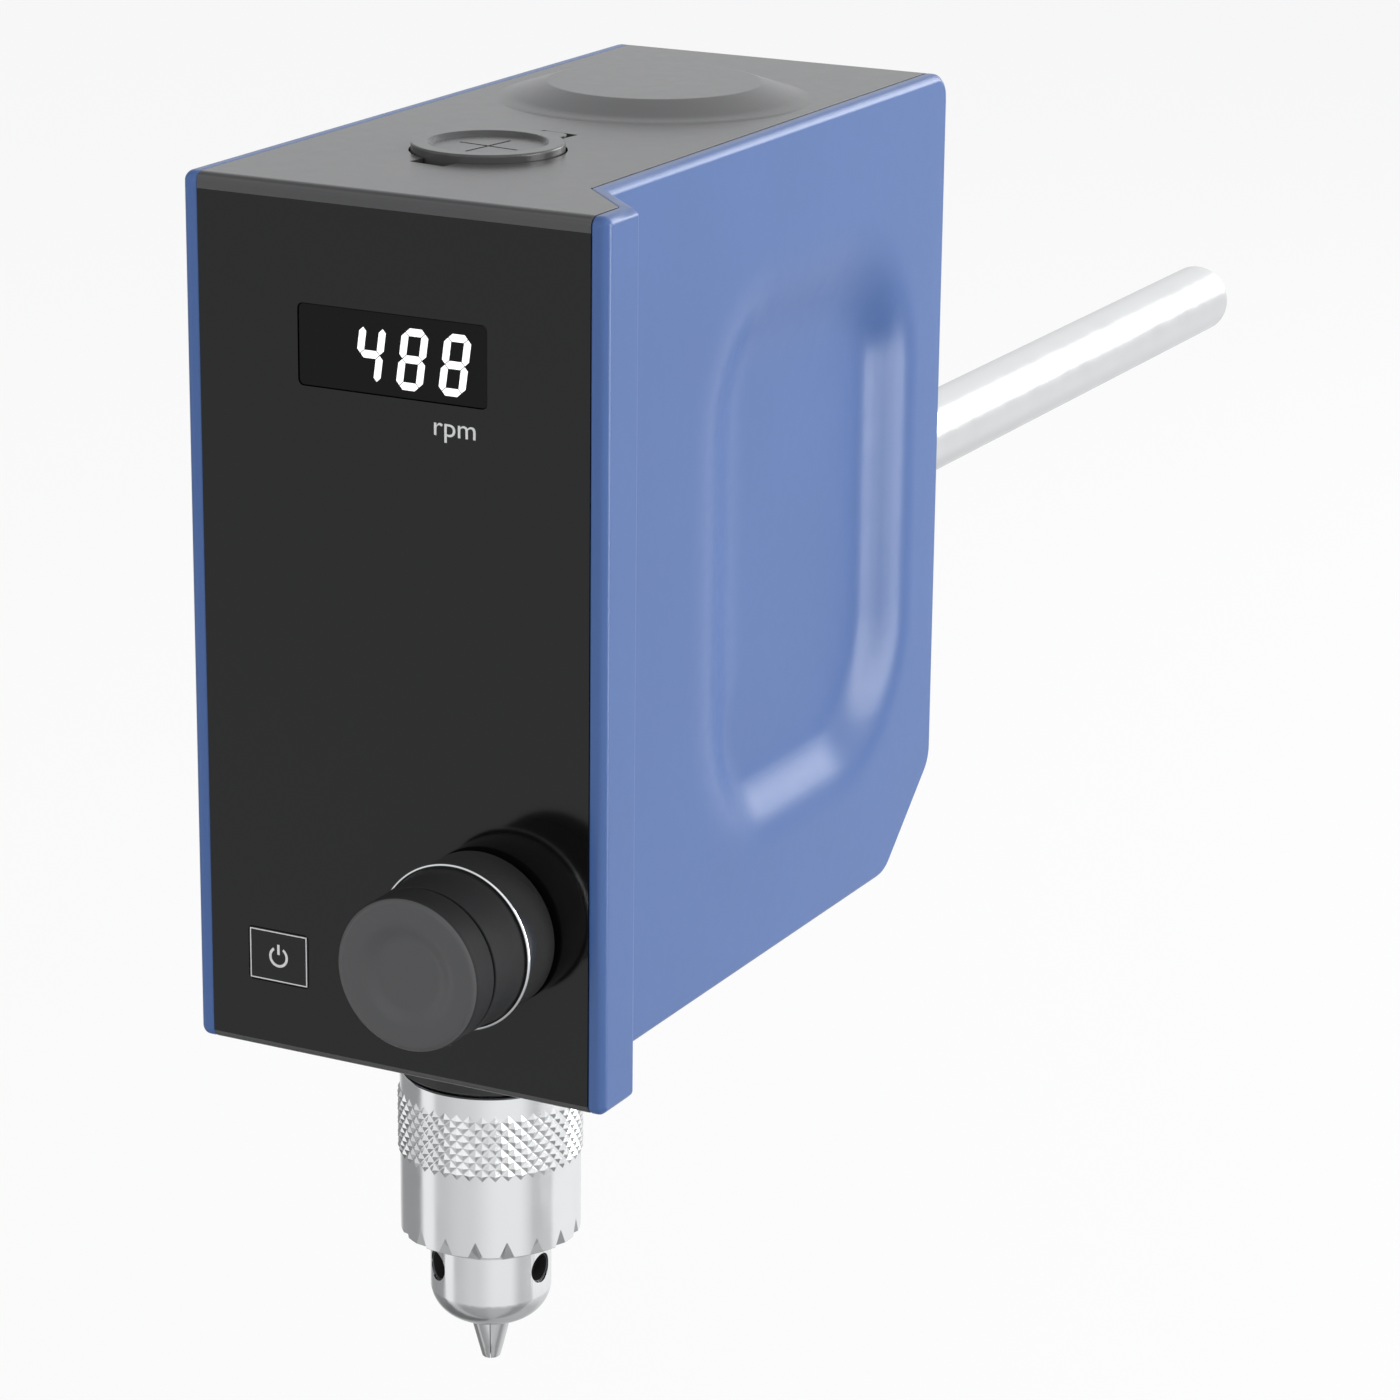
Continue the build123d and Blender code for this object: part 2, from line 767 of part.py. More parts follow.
def make_base_plate():
    plate = block(-plate_half_width, plate_half_width, plate_front, plate_back, base_plate_z, column_z)
    nose = rod(nose_radius, nose_bottom, base_plate_z + 1)
    nose = chamfer(nose.edges().filter_by(GeomType.CIRCLE).sort_by(Axis.Z)[0], nose_edge)
    plate = plate + nose
    plate = plate - rod(bearing_radius, nose_bottom - 1, bearing_low + bearing_width)
    plate = plate - rod(column_bore, nose_bottom, column_z + 1)
    for x, y in base_screw_places():
        plate = plate - base_screw(x, y, screw_gap)
    for x, y in column_screw_places():
        plate = plate - rod(screw_radius + screw_gap, base_plate_z - 1, column_z + 1, x, y)
    return plate


def column_screw_places():
    reach = (column_radius + column_foot_radius) / 2
    return [(reach * cos(radians(turn)), reach * sin(radians(turn))) for turn in (0, 90, 180, 270)]


def make_spindle_column():
    column = rod(column_radius, column_z, motor_plate_z)
    column = column + rod(column_foot_radius, column_z, column_z + plate_thickness)
    column = column - rod(column_bore, column_z - 1, motor_plate_z + 1)
    column = column - rod(bearing_radius, motor_plate_z - bearing_width, motor_plate_z + 1)
    for x, y in column_screw_places():
        column = column - rod(screw_radius + screw_gap, column_z - 1, column_z + plate_thickness + 1, x, y)
    return column


def column_screws():
    low = column_z + plate_thickness
    top = low + round_head_height
    return [rod(screw_radius, base_plate_z, low, x, y) + rod(round_head_radius, low, top, x, y)
            for x, y in column_screw_places()]


def motor_screw_places():
    reach = (motor_boss_radius + motor_radius) / 2
    turns = (45, 135, 225, 315)
    return [(reach * cos(radians(turn)), motor_y + reach * sin(radians(turn))) for turn in turns]


def make_motor_plate():
    plate = block(-motor_plate_half_width, motor_plate_half_width,
                  -column_radius - motor_plate_overhang, plate_back,
                  motor_plate_z, motor_plate_z + plate_thickness)
    plate = plate - rod(spindle_radius + plate_bore_gap, motor_plate_z - 1, pulley_z)
    plate = plate - rod(motor_boss_radius + lip_gap, motor_plate_z - 1, pulley_z, 0, motor_y)
    for x, y in motor_screw_places():
        plate = plate - rod(screw_radius + screw_gap, motor_plate_z - 1, pulley_z, x, y)
    return plate


def motor_screws():
    high = motor_plate_z + plate_thickness
    low = motor_plate_z - motor_screw_depth
    top = high + round_head_height
    return [rod(screw_radius, low, high, x, y) + rod(round_head_radius, high, top, x, y)
            for x, y in motor_screw_places()]


def make_motor_body():
    low = motor_plate_z - motor_length
    body = rod(motor_radius, low, motor_plate_z, 0, motor_y)
    body = body + rod(motor_boss_radius, motor_plate_z, motor_plate_z + motor_boss_height, 0, motor_y)
    step = (motor_length - 2 * motor_fin_width) / motor_fin_count
    for index in range(motor_fin_count):
        z = low + motor_fin_width + index * step
        groove = ring(motor_radius + 1, motor_radius - motor_fin_depth, z, z + step / 2, 0, motor_y)
        body = body - groove
    body = body - rod(motor_shaft_radius + running_fit, low + motor_fin_width, motor_plate_z + 5, 0, motor_y)
    chamber_top = magnet_z + magnet_length + magnet_gap
    body = body - rod(magnet_radius + magnet_gap, magnet_z - magnet_gap, chamber_top, 0, motor_y)
    tip = motor_plate_z - motor_screw_depth - lip_gap
    for x, y in motor_screw_places():
        body = body - rod(screw_radius + screw_gap, tip, motor_plate_z + 1, x, y)
    return body


def make_magnet():
    """The magnet ring pressed on to the motor shaft."""
    return ring(magnet_radius, motor_shaft_radius + press_gap, magnet_z, magnet_z + magnet_length, 0, motor_y)


def make_pulley(radius, bore, y):
    """A flanged pulley with V grooves round its rim."""
    top = pulley_z + pulley_width
    points = [(bore, pulley_z), (radius + pulley_lip, pulley_z),
              (radius + pulley_lip, pulley_z + pulley_flange), (radius, pulley_z + pulley_flange)]
    step = (pulley_width - 2 * pulley_flange) / rib_count
    for index in range(rib_count):
        z = pulley_z + pulley_flange + index * step
        points.append((radius - rib_depth, z + step / 2))
        points.append((radius, z + step))
    points.append((radius + pulley_lip, top - pulley_flange))
    points.append((radius + pulley_lip, top))
    points.append((bore, top))
    return Pos(0, y, 0) * turned(points)


def make_belt():
    """A closed belt round both pulleys, clear of their rims."""
    def loop(gap):
        big = driven_radius + gap
        small = drive_radius + gap
        lean = asin((big - small) / motor_y)
        side = []
        for sign in (1, -1):
            side.append((sign * big * cos(lean), big * sin(lean)))
            side.append((sign * small * cos(lean), motor_y + small * sin(lean)))
        middle = make_face(Polyline(side[0], side[1], side[3], side[2], close=True))
        return Circle(big) + Pos(0, motor_y) * Circle(small) + middle
    low = pulley_z + pulley_flange + 2 * belt_gap
    high = pulley_z + pulley_width - pulley_flange - 2 * belt_gap
    hoop = loop(belt_gap + belt_thickness) - loop(belt_gap)
    return Pos(0, 0, low) * extrude(hoop, high - low)


def make_motor_shaft():
    low = motor_plate_z - motor_length + motor_shaft_end
    return rod(motor_shaft_radius, low, pulley_z + pulley_width + shaft_stand, 0, motor_y)


def make_spindle():
    spindle = ring(spindle_radius, spindle_bore, socket_floor, spindle_top)
    rims = spindle.edges().filter_by(GeomType.CIRCLE).group_by(Axis.Z)[-1]
    return chamfer(rims, spindle_edge)


def make_clip(z0):
    """Retaining ring with its opening."""
    clip = ring(clip_radius, spindle_radius + press_gap, z0, z0 + clip_width)
    return clip - block(-clip_mouth / 2, clip_mouth / 2, 0, clip_radius + 1, z0 - 1, z0 + clip_width + 1)


def jaw_axis(turn):
    """Plane whose Z runs up the slanting bore of one jaw, its origin level with the nose."""
    out = jaw_line + jaw_rise * tangent - jaw_span
    lean = radians(jaw_angle)
    place = Plane(origin=(0, -out, jaw_rise), x_dir=(1, 0, 0), z_dir=(0, -sin(lean), cos(lean)))
    return Rot(0, 0, turn) * Location(place)


def jaw_turns():
    return [first_jaw_angle + 120 * index for index in range(3)]


def jaw_bore(turn):
    reach = (jaw_top + jaw_lift - jaw_rise) / cos(radians(jaw_angle)) + jaw_pitch
    tool = Pos(0, 0, reach / 2 - jaw_rise) * Cylinder(jaw_radius + running_fit, reach + 2 * jaw_rise)
    return jaw_axis(turn) * tool


def make_jaw(turn):
    """One jaw: a slanting round bar ground to a 120 degree wedge, a cone at its tip, teeth on its back."""
    length = (jaw_top - jaw_rise) / cos(radians(jaw_angle))
    jaw = jaw_axis(turn) * (Pos(0, 0, length / 2 - jaw_rise) * Cylinder(jaw_radius, length + 2 * jaw_rise))
    far = 3 * body_radius
    edge = jaw_split / sin(radians(60))
    wedge_plan = [(0, -edge), (far * sin(radians(60)), -edge - far * cos(radians(60))), (0, -far * 2),
                  (-far * sin(radians(60)), -edge - far * cos(radians(60)))]
    wedge = Rot(0, 0, turn) * upright(wedge_plan, 0, jaw_top + jaw_rise)
    wide = body_radius * 2
    high = jaw_top + jaw_rise
    cone = turned([(0, 0), (jaw_tip_radius, 0), (jaw_root_radius, jaw_rise),
                   (wide, jaw_rise + jaw_cone_run), (wide, high), (0, high)])
    jaw = jaw & wedge & cone
    for index in range(jaw_teeth):
        along = length - jaw_pitch * (index + jaw_tooth_start)
        groove = Pos(0, -jaw_radius, along) * Box(4 * jaw_radius, 2 * jaw_tooth_depth, jaw_pitch / 2)
        jaw = jaw - jaw_axis(turn) * groove
    return jaw


def make_chuck_body():
    waist_low = nut_top + nut_play
    profile = Polyline((body_radius, nose_shoulder), (body_radius, nut_bottom - nut_play),
                       (groove_radius, nut_bottom - nut_play), (groove_radius, waist_low),
                       (body_waist, waist_low), (body_waist, body_top - body_collar_height),
                       (body_collar_radius, body_top - body_collar_height), (body_collar_radius, body_top),
                       (0, body_top), (0, jaw_rise), (nose_hole, jaw_rise))
    bulge = ((body_radius + nose_hole) / 2 + nose_bulge_out, (nose_shoulder + jaw_rise) / 2 - nose_bulge_down)
    nose = ThreePointArc((nose_hole, jaw_rise), bulge, (body_radius, nose_shoulder))
    body = revolve(Plane.XZ * make_face([*profile.edges(), nose]), Axis.Z)
    body = body - rod(spindle_bore, socket_floor - 1, body_top) - rod(nose_hole, 0, socket_floor)
    body = body - rod(spindle_radius + press_gap, socket_floor, body_top + 1)
    for turn in jaw_turns():
        body = body - jaw_bore(turn)
        pilot = bar(key_hole_radius, -body_radius - 1, -body_radius + key_hole_depth, 0, key_hole_z)
        body = body - Rot(0, 0, turn) * pilot
    return body


def notch_tool():
    """V cut in the lower rim of the sleeve, its root running down and inwards from the wall."""
    slope = radians(notch_slope)
    reach = 2 * (sleeve_radius - sleeve_bottom_radius)
    direction = (0, -cos(slope), sin(slope))
    root = Plane(origin=(0, -sleeve_radius, bevel_top + notch_rise), x_dir=(1, 0, 0), z_dir=direction)
    depth = 3 * notch_rise
    half = depth * tan(radians(notch_half_angle))
    shape = make_face(Polyline((0, 0), (half, -depth), (-half, -depth), close=True))
    return extrude(root * shape, reach, both=True)


def make_chuck_sleeve():
    lower_bore = body_radius + running_fit
    profile = [(lower_bore, sleeve_bottom), (sleeve_bottom_radius, sleeve_bottom), (sleeve_radius, bevel_top),
               (sleeve_radius, sleeve_top - sleeve_edge), (sleeve_radius - sleeve_edge, sleeve_top),
               (sleeve_bore, sleeve_top),
               (sleeve_bore, nut_top + nut_play), (nut_radius, nut_top + nut_play), (nut_radius, nut_bottom),
               (lower_bore, nut_bottom)]
    sleeve = turned(profile)
    notch = notch_tool()
    for index in range(tooth_count):
        sleeve = sleeve - Rot(0, 0, index * 360 / tooth_count) * notch
    return sleeve


def split_nut_halves():
    """Ring in two halves, its cone running along the backs of the jaws."""
    def reach(z):
        return jaw_line + z * tangent + nut_gap
    outer = nut_radius - press_gap
    nut = turned([(reach(nut_bottom), nut_bottom), (outer, nut_bottom),
                  (outer, nut_top), (reach(nut_top), nut_top)])
    far = 2 * nut_radius
    right = nut & block(nut_split / 2, far, -far, far, nut_bottom, nut_top)
    left = nut & block(-far, -nut_split / 2, -far, far, nut_bottom, nut_top)
    return [right, left]


def make_rear_frame():
    frame = block(-rear_frame_half_width, rear_frame_half_width, rear_frame_front, plate_back,
                  column_z, motor_plate_z)
    frame = frame + bar(arm_socket_radius, plate_back, back_inside, 0, arm_z)
    for x, z in rear_screw_places():
        frame = frame + bar(pillar_radius, plate_back, back_inside, x, z)
    frame = frame - bar(arm_spigot_radius + running_fit, rear_frame_front - 1, back_inside + 1, 0, arm_z)
    for x, z in rear_screw_places():
        frame = frame - back_screw(x, z, screw_gap)
    reach = arm_socket_radius + 1
    hole = rod(set_screw_radius + screw_gap, arm_z, arm_z + reach, 0, back_inside - set_screw_back)
    return frame - hole


def make_arm():
    spigot = bar(arm_spigot_radius, rear_frame_front, back_reach + 1, 0, arm_z)
    arm = bar(arm_radius, back_reach, arm_reach, 0, arm_z)
    far_rim = arm.edges().filter_by(GeomType.CIRCLE).sort_by(Axis.Y)[-1]
    return chamfer(far_rim, arm_chamfer) + spigot


def make_set_screw():
    y = back_inside - set_screw_back
    high = arm_z + arm_socket_radius - set_screw_inset
    screw = rod(set_screw_radius, arm_z + arm_spigot_radius + running_fit, high, 0, y)
    socket = Pos(0, y, high) * extrude(RegularPolygon(hex_radius, 6), 2, both=True)
    return screw - socket


def make_power_socket():
    low = back_inside - socket_length
    half = socket_box / 2
    body = block(-half, half, low, back_inside, socket_z - half, socket_z + half)
    body = body + bar(socket_barrel_radius, back_inside, back_reach, 0, socket_z)
    body = body - bar(socket_bore, back_reach - socket_depth, back_reach + 1, 0, socket_z)
    return body + bar(socket_pin, back_reach - socket_depth, back_reach - 1, 0, socket_z)


band = cover_band()
nodes = {
    "right_side_shell": make_right_shell(),
    "left_side_shell": make_left_shell(),
    "top_cover": make_top_cover(band),
    "rear_cover": make_rear_cover(band),
    "base_cover": make_base_cover(band),
    "front_frame": make_front_frame(),
    "front_film": make_front_film(),
    "display_window": window_block(0, front + window_recess, frame_back),
    "display_module": make_display_module(),
    "control_board": make_control_board(),
    "board_screws": Compound(children=board_screws()),
    "key_switch": make_key_switch(),
    "encoder_body": make_encoder(),
    "base_plate": make_base_plate(),
    "spindle_column": make_spindle_column(),
    "column_screws": Compound(children=column_screws()),
    "motor_plate": make_motor_plate(),
    "motor_screws": Compound(children=motor_screws()),
    "motor_body": make_motor_body(),
    "rear_frame": make_rear_frame(),
    "lower_bearing": make_bearing(bearing_low),
    "upper_bearing": make_bearing(motor_plate_z - bearing_width),
    "shaft_seal": make_seal(),
    "drive_belt": make_belt(),
    "extension_arm": make_arm(),
    "arm_set_screw": make_set_screw(),
    "power_socket": make_power_socket(),
    "rear_screws": Compound(children=[back_screw(x, z) for x, z in rear_screw_places()]),
    "base_screws": Compound(children=[base_screw(x, y) for x, y in base_screw_places()]),
    "hollow_spindle": make_spindle(),
    "driven_pulley": make_pulley(driven_radius, spindle_radius + press_gap, 0),
    "spindle_clip": make_clip(pulley_z + pulley_width),
    "chuck_body": make_chuck_body(),
    "motor_shaft": make_motor_shaft(),
    "motor_magnet": make_magnet(),
    "drive_pulley": make_pulley(drive_radius, motor_shaft_radius + press_gap, motor_y),
    "chuck_sleeve": make_chuck_sleeve(),
    "split_nut": Compound(children=split_nut_halves()),
    "encoder_rotor": make_encoder_rotor(),
    "encoder_shaft": make_encoder_shaft(),
    "knob_skirt": make_knob_skirt(),
    "knob_ring": make_knob_ring(),
    "knob_grip": make_knob_grip(),
    "knob_cap": make_knob_cap(),
    "power_key": make_power_key(),
    "shaft_cap": make_shaft_cap(),
}
for number, turn in enumerate(jaw_turns(), start=1):
    nodes[f"chuck_jaw_{number}"] = make_jaw(turn)

os.makedirs("parts", exist_ok=True)
for name, shape in nodes.items():
    export_step(shape, f"parts/{name}.step")
sleeve_turns = degrees(2 * pi * jaw_travel / jaw_pitch)
print(f"{len(nodes)} nodes, jaw travel {jaw_travel:.2f} mm, sleeve {sleeve_turns:.0f} degrees")
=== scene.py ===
import json
import math

import bmesh
import bpy
from mathutils import Matrix, Vector


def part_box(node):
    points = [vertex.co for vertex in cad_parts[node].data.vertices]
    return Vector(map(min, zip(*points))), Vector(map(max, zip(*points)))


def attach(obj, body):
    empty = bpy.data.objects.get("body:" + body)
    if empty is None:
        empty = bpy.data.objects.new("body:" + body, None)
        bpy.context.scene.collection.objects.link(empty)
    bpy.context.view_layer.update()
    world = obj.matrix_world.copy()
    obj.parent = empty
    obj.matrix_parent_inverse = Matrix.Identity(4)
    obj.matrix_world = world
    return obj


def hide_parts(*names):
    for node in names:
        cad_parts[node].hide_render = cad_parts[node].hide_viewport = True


bl_info = {
    "name": "Overhead stirrer",
    "version": (1, 0, 0),
    "blender": (4, 5, 0),
    "location": "3D View > Sidebar > Stirrer",
    "description": "Fine shapes and finishes of a laboratory overhead stirrer around its packed frame",
    "category": "Add Mesh",
}

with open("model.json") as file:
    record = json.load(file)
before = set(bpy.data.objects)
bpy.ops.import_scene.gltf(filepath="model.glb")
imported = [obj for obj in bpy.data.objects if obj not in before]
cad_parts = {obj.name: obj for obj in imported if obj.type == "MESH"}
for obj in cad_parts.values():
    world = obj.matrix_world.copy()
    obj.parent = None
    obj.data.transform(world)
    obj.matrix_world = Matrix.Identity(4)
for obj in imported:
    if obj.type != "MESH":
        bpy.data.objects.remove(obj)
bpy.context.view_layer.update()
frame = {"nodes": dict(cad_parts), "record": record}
MM = 0.001

# Places that the pieces share with the frame, in millimetres.
LOW = {name: tuple(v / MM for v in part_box(name)[0]) for name in frame["nodes"]}
HIGH = {name: tuple(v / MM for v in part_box(name)[1]) for name in frame["nodes"]}
FRONT = LOW["front_film"][1]
SIDE_X = -LOW["left_side_shell"][0]
KNOB_X = (LOW["knob_skirt"][0] + HIGH["knob_skirt"][0]) / 2
KNOB_Z = (LOW["knob_skirt"][2] + HIGH["knob_skirt"][2]) / 2
KEY_X = (LOW["power_key"][0] + HIGH["power_key"][0]) / 2
KEY_Z = (LOW["power_key"][2] + HIGH["power_key"][2]) / 2
KNOB_PLACE = Matrix.Translation((KNOB_X, FRONT, KNOB_Z)) @ Matrix.Rotation(math.radians(90), 4, "X")

# How closely meshes are merged and smoothed: distances in millimetres, angles in degrees.
MERGE = 0.002
MERGE_TURNED = 0.0005
THIN_TURNED = 0.0004
SMOOTH_ANGLE = 32.0
DRESSED_ANGLE = 40.0
FLAT_ANGLE = 0.4
FINE_FLAT_ANGLE = 0.03      # the top cover, whose dome is shallow
TURNED_STEPS = 160          # faces round the knob

# Edge rounding of the small pieces, in millimetres.
FILM_EDGE = 0.05
JAW_EDGE = 0.05
SLEEVE_EDGE = 0.10
BODY_EDGE = 0.12
SOCKET_EDGE = 0.12
ARM_EDGE = 0.15
PLATE_EDGE = 0.20

# The recess in the shells' sides: where it starts, widths of the slopes (front, back, low, high), corner radius,
# depth, and the distance from one line of its surface to the next.
RECESS_Y = (8.0, 86.5)
RECESS_Z = (76.5, 172.5)
RECESS_SLOPES = (28.0, 15.0, 15.0, 24.0)
RECESS_CORNER = 28.0
RECESS_DEPTH = 5.0
RECESS_STEP = 1.5
LINE_GAP = 0.4              # least distance of a new line from one that is already there

# Segments of a figure, its ends as shares of the width and height, and the segments that each figure lights.
SEGMENTS = {
    "a": ((0, 1), (1, 1)), "b": ((1, 1), (1, 0.5)), "c": ((1, 0.5), (1, 0)), "d": ((0, 0), (1, 0)),
    "e": ((0, 0.5), (0, 0)), "f": ((0, 1), (0, 0.5)), "g": ((0, 0.5), (1, 0.5)),
}
LIT = {"4": "bcfg", "8": "abcdefg"}

# What is printed on the front, in millimetres and degrees.
PRINT_DEPTH = 0.02          # half the thickness of a print
UNIT_INSET = 1.75           # from the window's right edge to the unit's
UNIT_DROP = 4.55            # from the window's lower edge to the unit's foot
ARC_OUTSIDE = (32, 328)     # the open ring of the power symbol, clockwise from the top
ARC_INSIDE = (34, 326)
ARC_STEPS = 48
BAR_FOOT = 0.35             # bar of the symbol: from its middle to the foot
BAR_RISE = 0.30             # and from the ring's outside to the top

# The knob's pieces, in millimetres. Their lengths and radii come from the frame.
SKIRT_WALL = 1.6
SKIRT_RIM = 1.2
SKIRT_HOLE = 5.4
SKIRT_ROUND = 0.35
WIRE_RADIUS = (0.26, 0.30)  # across and along
WIRE_STEPS = 16
WIRE_SEAT = 0.35            # from the ring's front edge back to its web's
GRIP_HOLE = 5.2
GRIP_START = 0.2            # how far the grip's foot is inside the skirt
GRIP_GROOVE = (0.5, 0.4)    # groove between grip and cap, depth and width
GRIP_ROUNDS = (0, 0, 0.22, 0.10, 0, 0)
GRIP_MOUTH = 3.2
CAP_RIM = 3.2
CAP_ROLL = 0.3
CAP_ROUND = 1.0
DISH_DEPTH = 0.8
DISH_STEPS = 32
DISH_SLOPE = 2.4            # one part in this many of the dish's radius is slope

# The chuck, in millimetres and degrees.
KNURL_SINK = 0.06           # how deep the knurl's feet stand in the sleeve's wall
KNURL_TIP = 0.16            # a point's flat tip as a share of its foot
KEY_HOLE_Z = 16.8
KEY_HOLE_TURNS = (-34, 86, 206)
# The cups below are dark cups set in the key holes as painted shade.
SHADE_CUP_FRONT = 9.3             # distance of the cups' origin from the axis
SHADE_CUP_PROFILE = ((0, -2.62), (2.3, -2.62), (2.3, -0.5), (2.1, -0.5), (2.1, -2.42), (0, -2.42))

# Brightness of the studio by azimuth in degrees, from the front towards the right, and by elevation.
BANDS = ((-180, 0.95), (-140, 0.85), (-118, 0.34), (-72, 0.34), (-66, 1.0), (-50, 1.0), (-42, 0.62), (0, 0.75),
         (40, 0.97), (66, 0.97), (90, 0.62), (112, 0.66), (118, 1.0), (155, 1.0), (168, 0.97), (180, 0.95))
HEIGHTS = ((-90, 0.45), (-50, 0.5), (-34, 0.75), (-22, 1.0), (0, 0.95), (20, 1.15), (60, 1.15), (90, 1.0))
WORLD_FILL = 0.62           # strength as light on the pieces
WORLD_GLOSS = 0.97          # strength in reflections
FLOOR_GLOW = 0.85           # share of plain white in what the camera sees of the floor
FLOOR_REACH = 6.0           # metres
LAMPS = (
    # name, place, target, width, height, power, seen in gloss
    ("right_box", (0.96, 0.27, 0.28), (0.0, 0.05, 0.28), 0.40, 1.06, 9.5, True),
    ("back_box", (0.46, 1.05, 0.50), (0.0, 0.03, 0.15), 0.6, 0.5, 4.5, True),
    ("front_fill", (-0.15, -1.6, 0.55), (0.0, 0.0, 0.12), 1.0, 0.8, 9.0, False),
)


# ---------------------------------------------------------------- sizes and colours that a user would change
def length(name, description, default):
    """A length property in millimetres, kept in metres."""
    return bpy.props.FloatProperty(name=name, description=description, default=default * MM, unit="LENGTH",
                                   precision=5)


def colour(name, description, default):
    """A colour property from a colour written in sRGB."""
    linear = [((c + 0.055) / 1.055) ** 2.4 if c > 0.04045 else c / 12.92 for c in default]
    return bpy.props.FloatVectorProperty(name=name, description=description, subtype="COLOR", size=3,
                                         min=0, max=1, default=linear)


class StirrerSizes(bpy.types.PropertyGroup):
    """Sizes of the fine shapes."""
    edge: length("Edge rounding", "Rounding of moulded edges", 0.22)
    shell_edge: length("Shell rounding", "Rounding of the shells' edges", 0.42)
    knurl_pitch: length("Knurl pitch", "Height from one row of the knurl to the next", 1.08)
    knurl_height: length("Knurl height", "How far the knurl's points stand out", 0.42)
    knurl_low: length("Knurl start", "Height of the knurl's lowest row", 35.6)
    knurl_rows: bpy.props.IntProperty(name="Knurl rows", description="Rows of points", default=9, min=1)
    knurl_count: bpy.props.IntProperty(name="Knurl points", description="Points in one row", default=44, min=8)
    digit_height: length("Digit height", "Height of a figure on the display", 8.8)
    digit_width: length("Digit width", "Width of a figure on the display", 4.25)
    digit_pitch: length("Digit pitch", "Distance from one figure to the next", 6.78)
    digit_rise: length("Digit rise", "Window's lower edge to the figures", 1.15)
    digit_margin: length("Digit margin", "Last figure to the window's right edge", 3.0)
    digit_slant: bpy.props.FloatProperty(name="Digit slant", description="Lean of the figures",
                                         subtype="ANGLE", default=math.radians(8.0))
    stroke: length("Segment width", "Width of a figure's segment", 1.1)
    segment_gap: length("Segment gap", "Gap between two segments", 0.16)
    unit_height: length("Unit height", "Height of the small letters of the unit", 1.8)
    unit_width: length("Unit width", "Width of the unit", 6.6)
    line: length("Key line", "Width of the line round the power key", 0.17)
    symbol_radius: length("Symbol radius", "Outer radius of the power symbol", 1.6)
    symbol_line: length("Symbol line", "Line width of the power symbol", 0.4)


class StirrerColours(bpy.types.PropertyGroup):
    """Colours of the finishes."""
    casing: colour("Casing", "Lacquer of the side shells", (0.235, 0.357, 0.572))
    cover: colour("Cover", "Top, rear and base covers", (0.27, 0.27, 0.273))
    film: colour("Front film", "Film over the front", (0.03, 0.03, 0.032))
    # The grip and the cap's sides are drawn in a darker copy of this colour, as painted shade.
    knob: colour("Knob", "Grip and cap of the knob", (0.285, 0.285, 0.29))
    steel: colour("Steel", "Chuck and arm", (0.935, 0.938, 0.94))
    figures: colour("Figures", "Lit figures of the display", (0.97, 0.98, 0.98))
    print: colour("Print", "Lines and words printed on the front", (0.80, 0.80, 0.80))


class StirrerStage(bpy.types.PropertyGroup):
    """Camera, floor and lights."""
    focal: bpy.props.FloatProperty(name="Focal length", description="Camera lens", default=120.49,
                                   unit="CAMERA")
    camera: bpy.props.FloatVectorProperty(name="Camera place", description="Where the camera stands", size=3,
                                          subtype="TRANSLATION", unit="LENGTH",
                                          default=(0.3312, -0.5764, 0.3121))
    azimuth: bpy.props.FloatProperty(name="Azimuth", description="Turn of the camera from the front",
                                     subtype="ANGLE", default=math.radians(27.19))
    elevation: bpy.props.FloatProperty(name="Elevation", description="Height of the camera as an angle",
                                       subtype="ANGLE", default=math.radians(17.2))
    roll: bpy.props.FloatProperty(name="Roll", description="Camera roll", subtype="ANGLE",
                                  default=math.radians(0.65))
    floor: length("Floor", "Height of the floor under the origin", -60.0)


SIZES = "stirrer_sizes"
COLOURS = "stirrer_colours"
STAGE = "stirrer_stage"


def sizes():
    return getattr(bpy.context.scene, SIZES)


def colours():
    return getattr(bpy.context.scene, COLOURS)


# ---------------------------------------------------------------- node helpers
def add_node(tree, kind, inputs, settings):
    """A node with its settings made, and each input joined to a socket or given a plain value."""
    node = tree.nodes.new(kind)
    for key, value in settings.items():
        setattr(node, key, value)
    for key, value in inputs.items():
        if isinstance(value, bpy.types.NodeSocket):
            tree.links.new(value, node.inputs[key])
        else:
            node.inputs[key].default_value = value
    return node


def calculate(tree, operation, *values):
    """The output of a maths node on sockets or plain values."""
    return add_node(tree, "ShaderNodeMath", dict(enumerate(values)), {"operation": operation}).outputs[0]


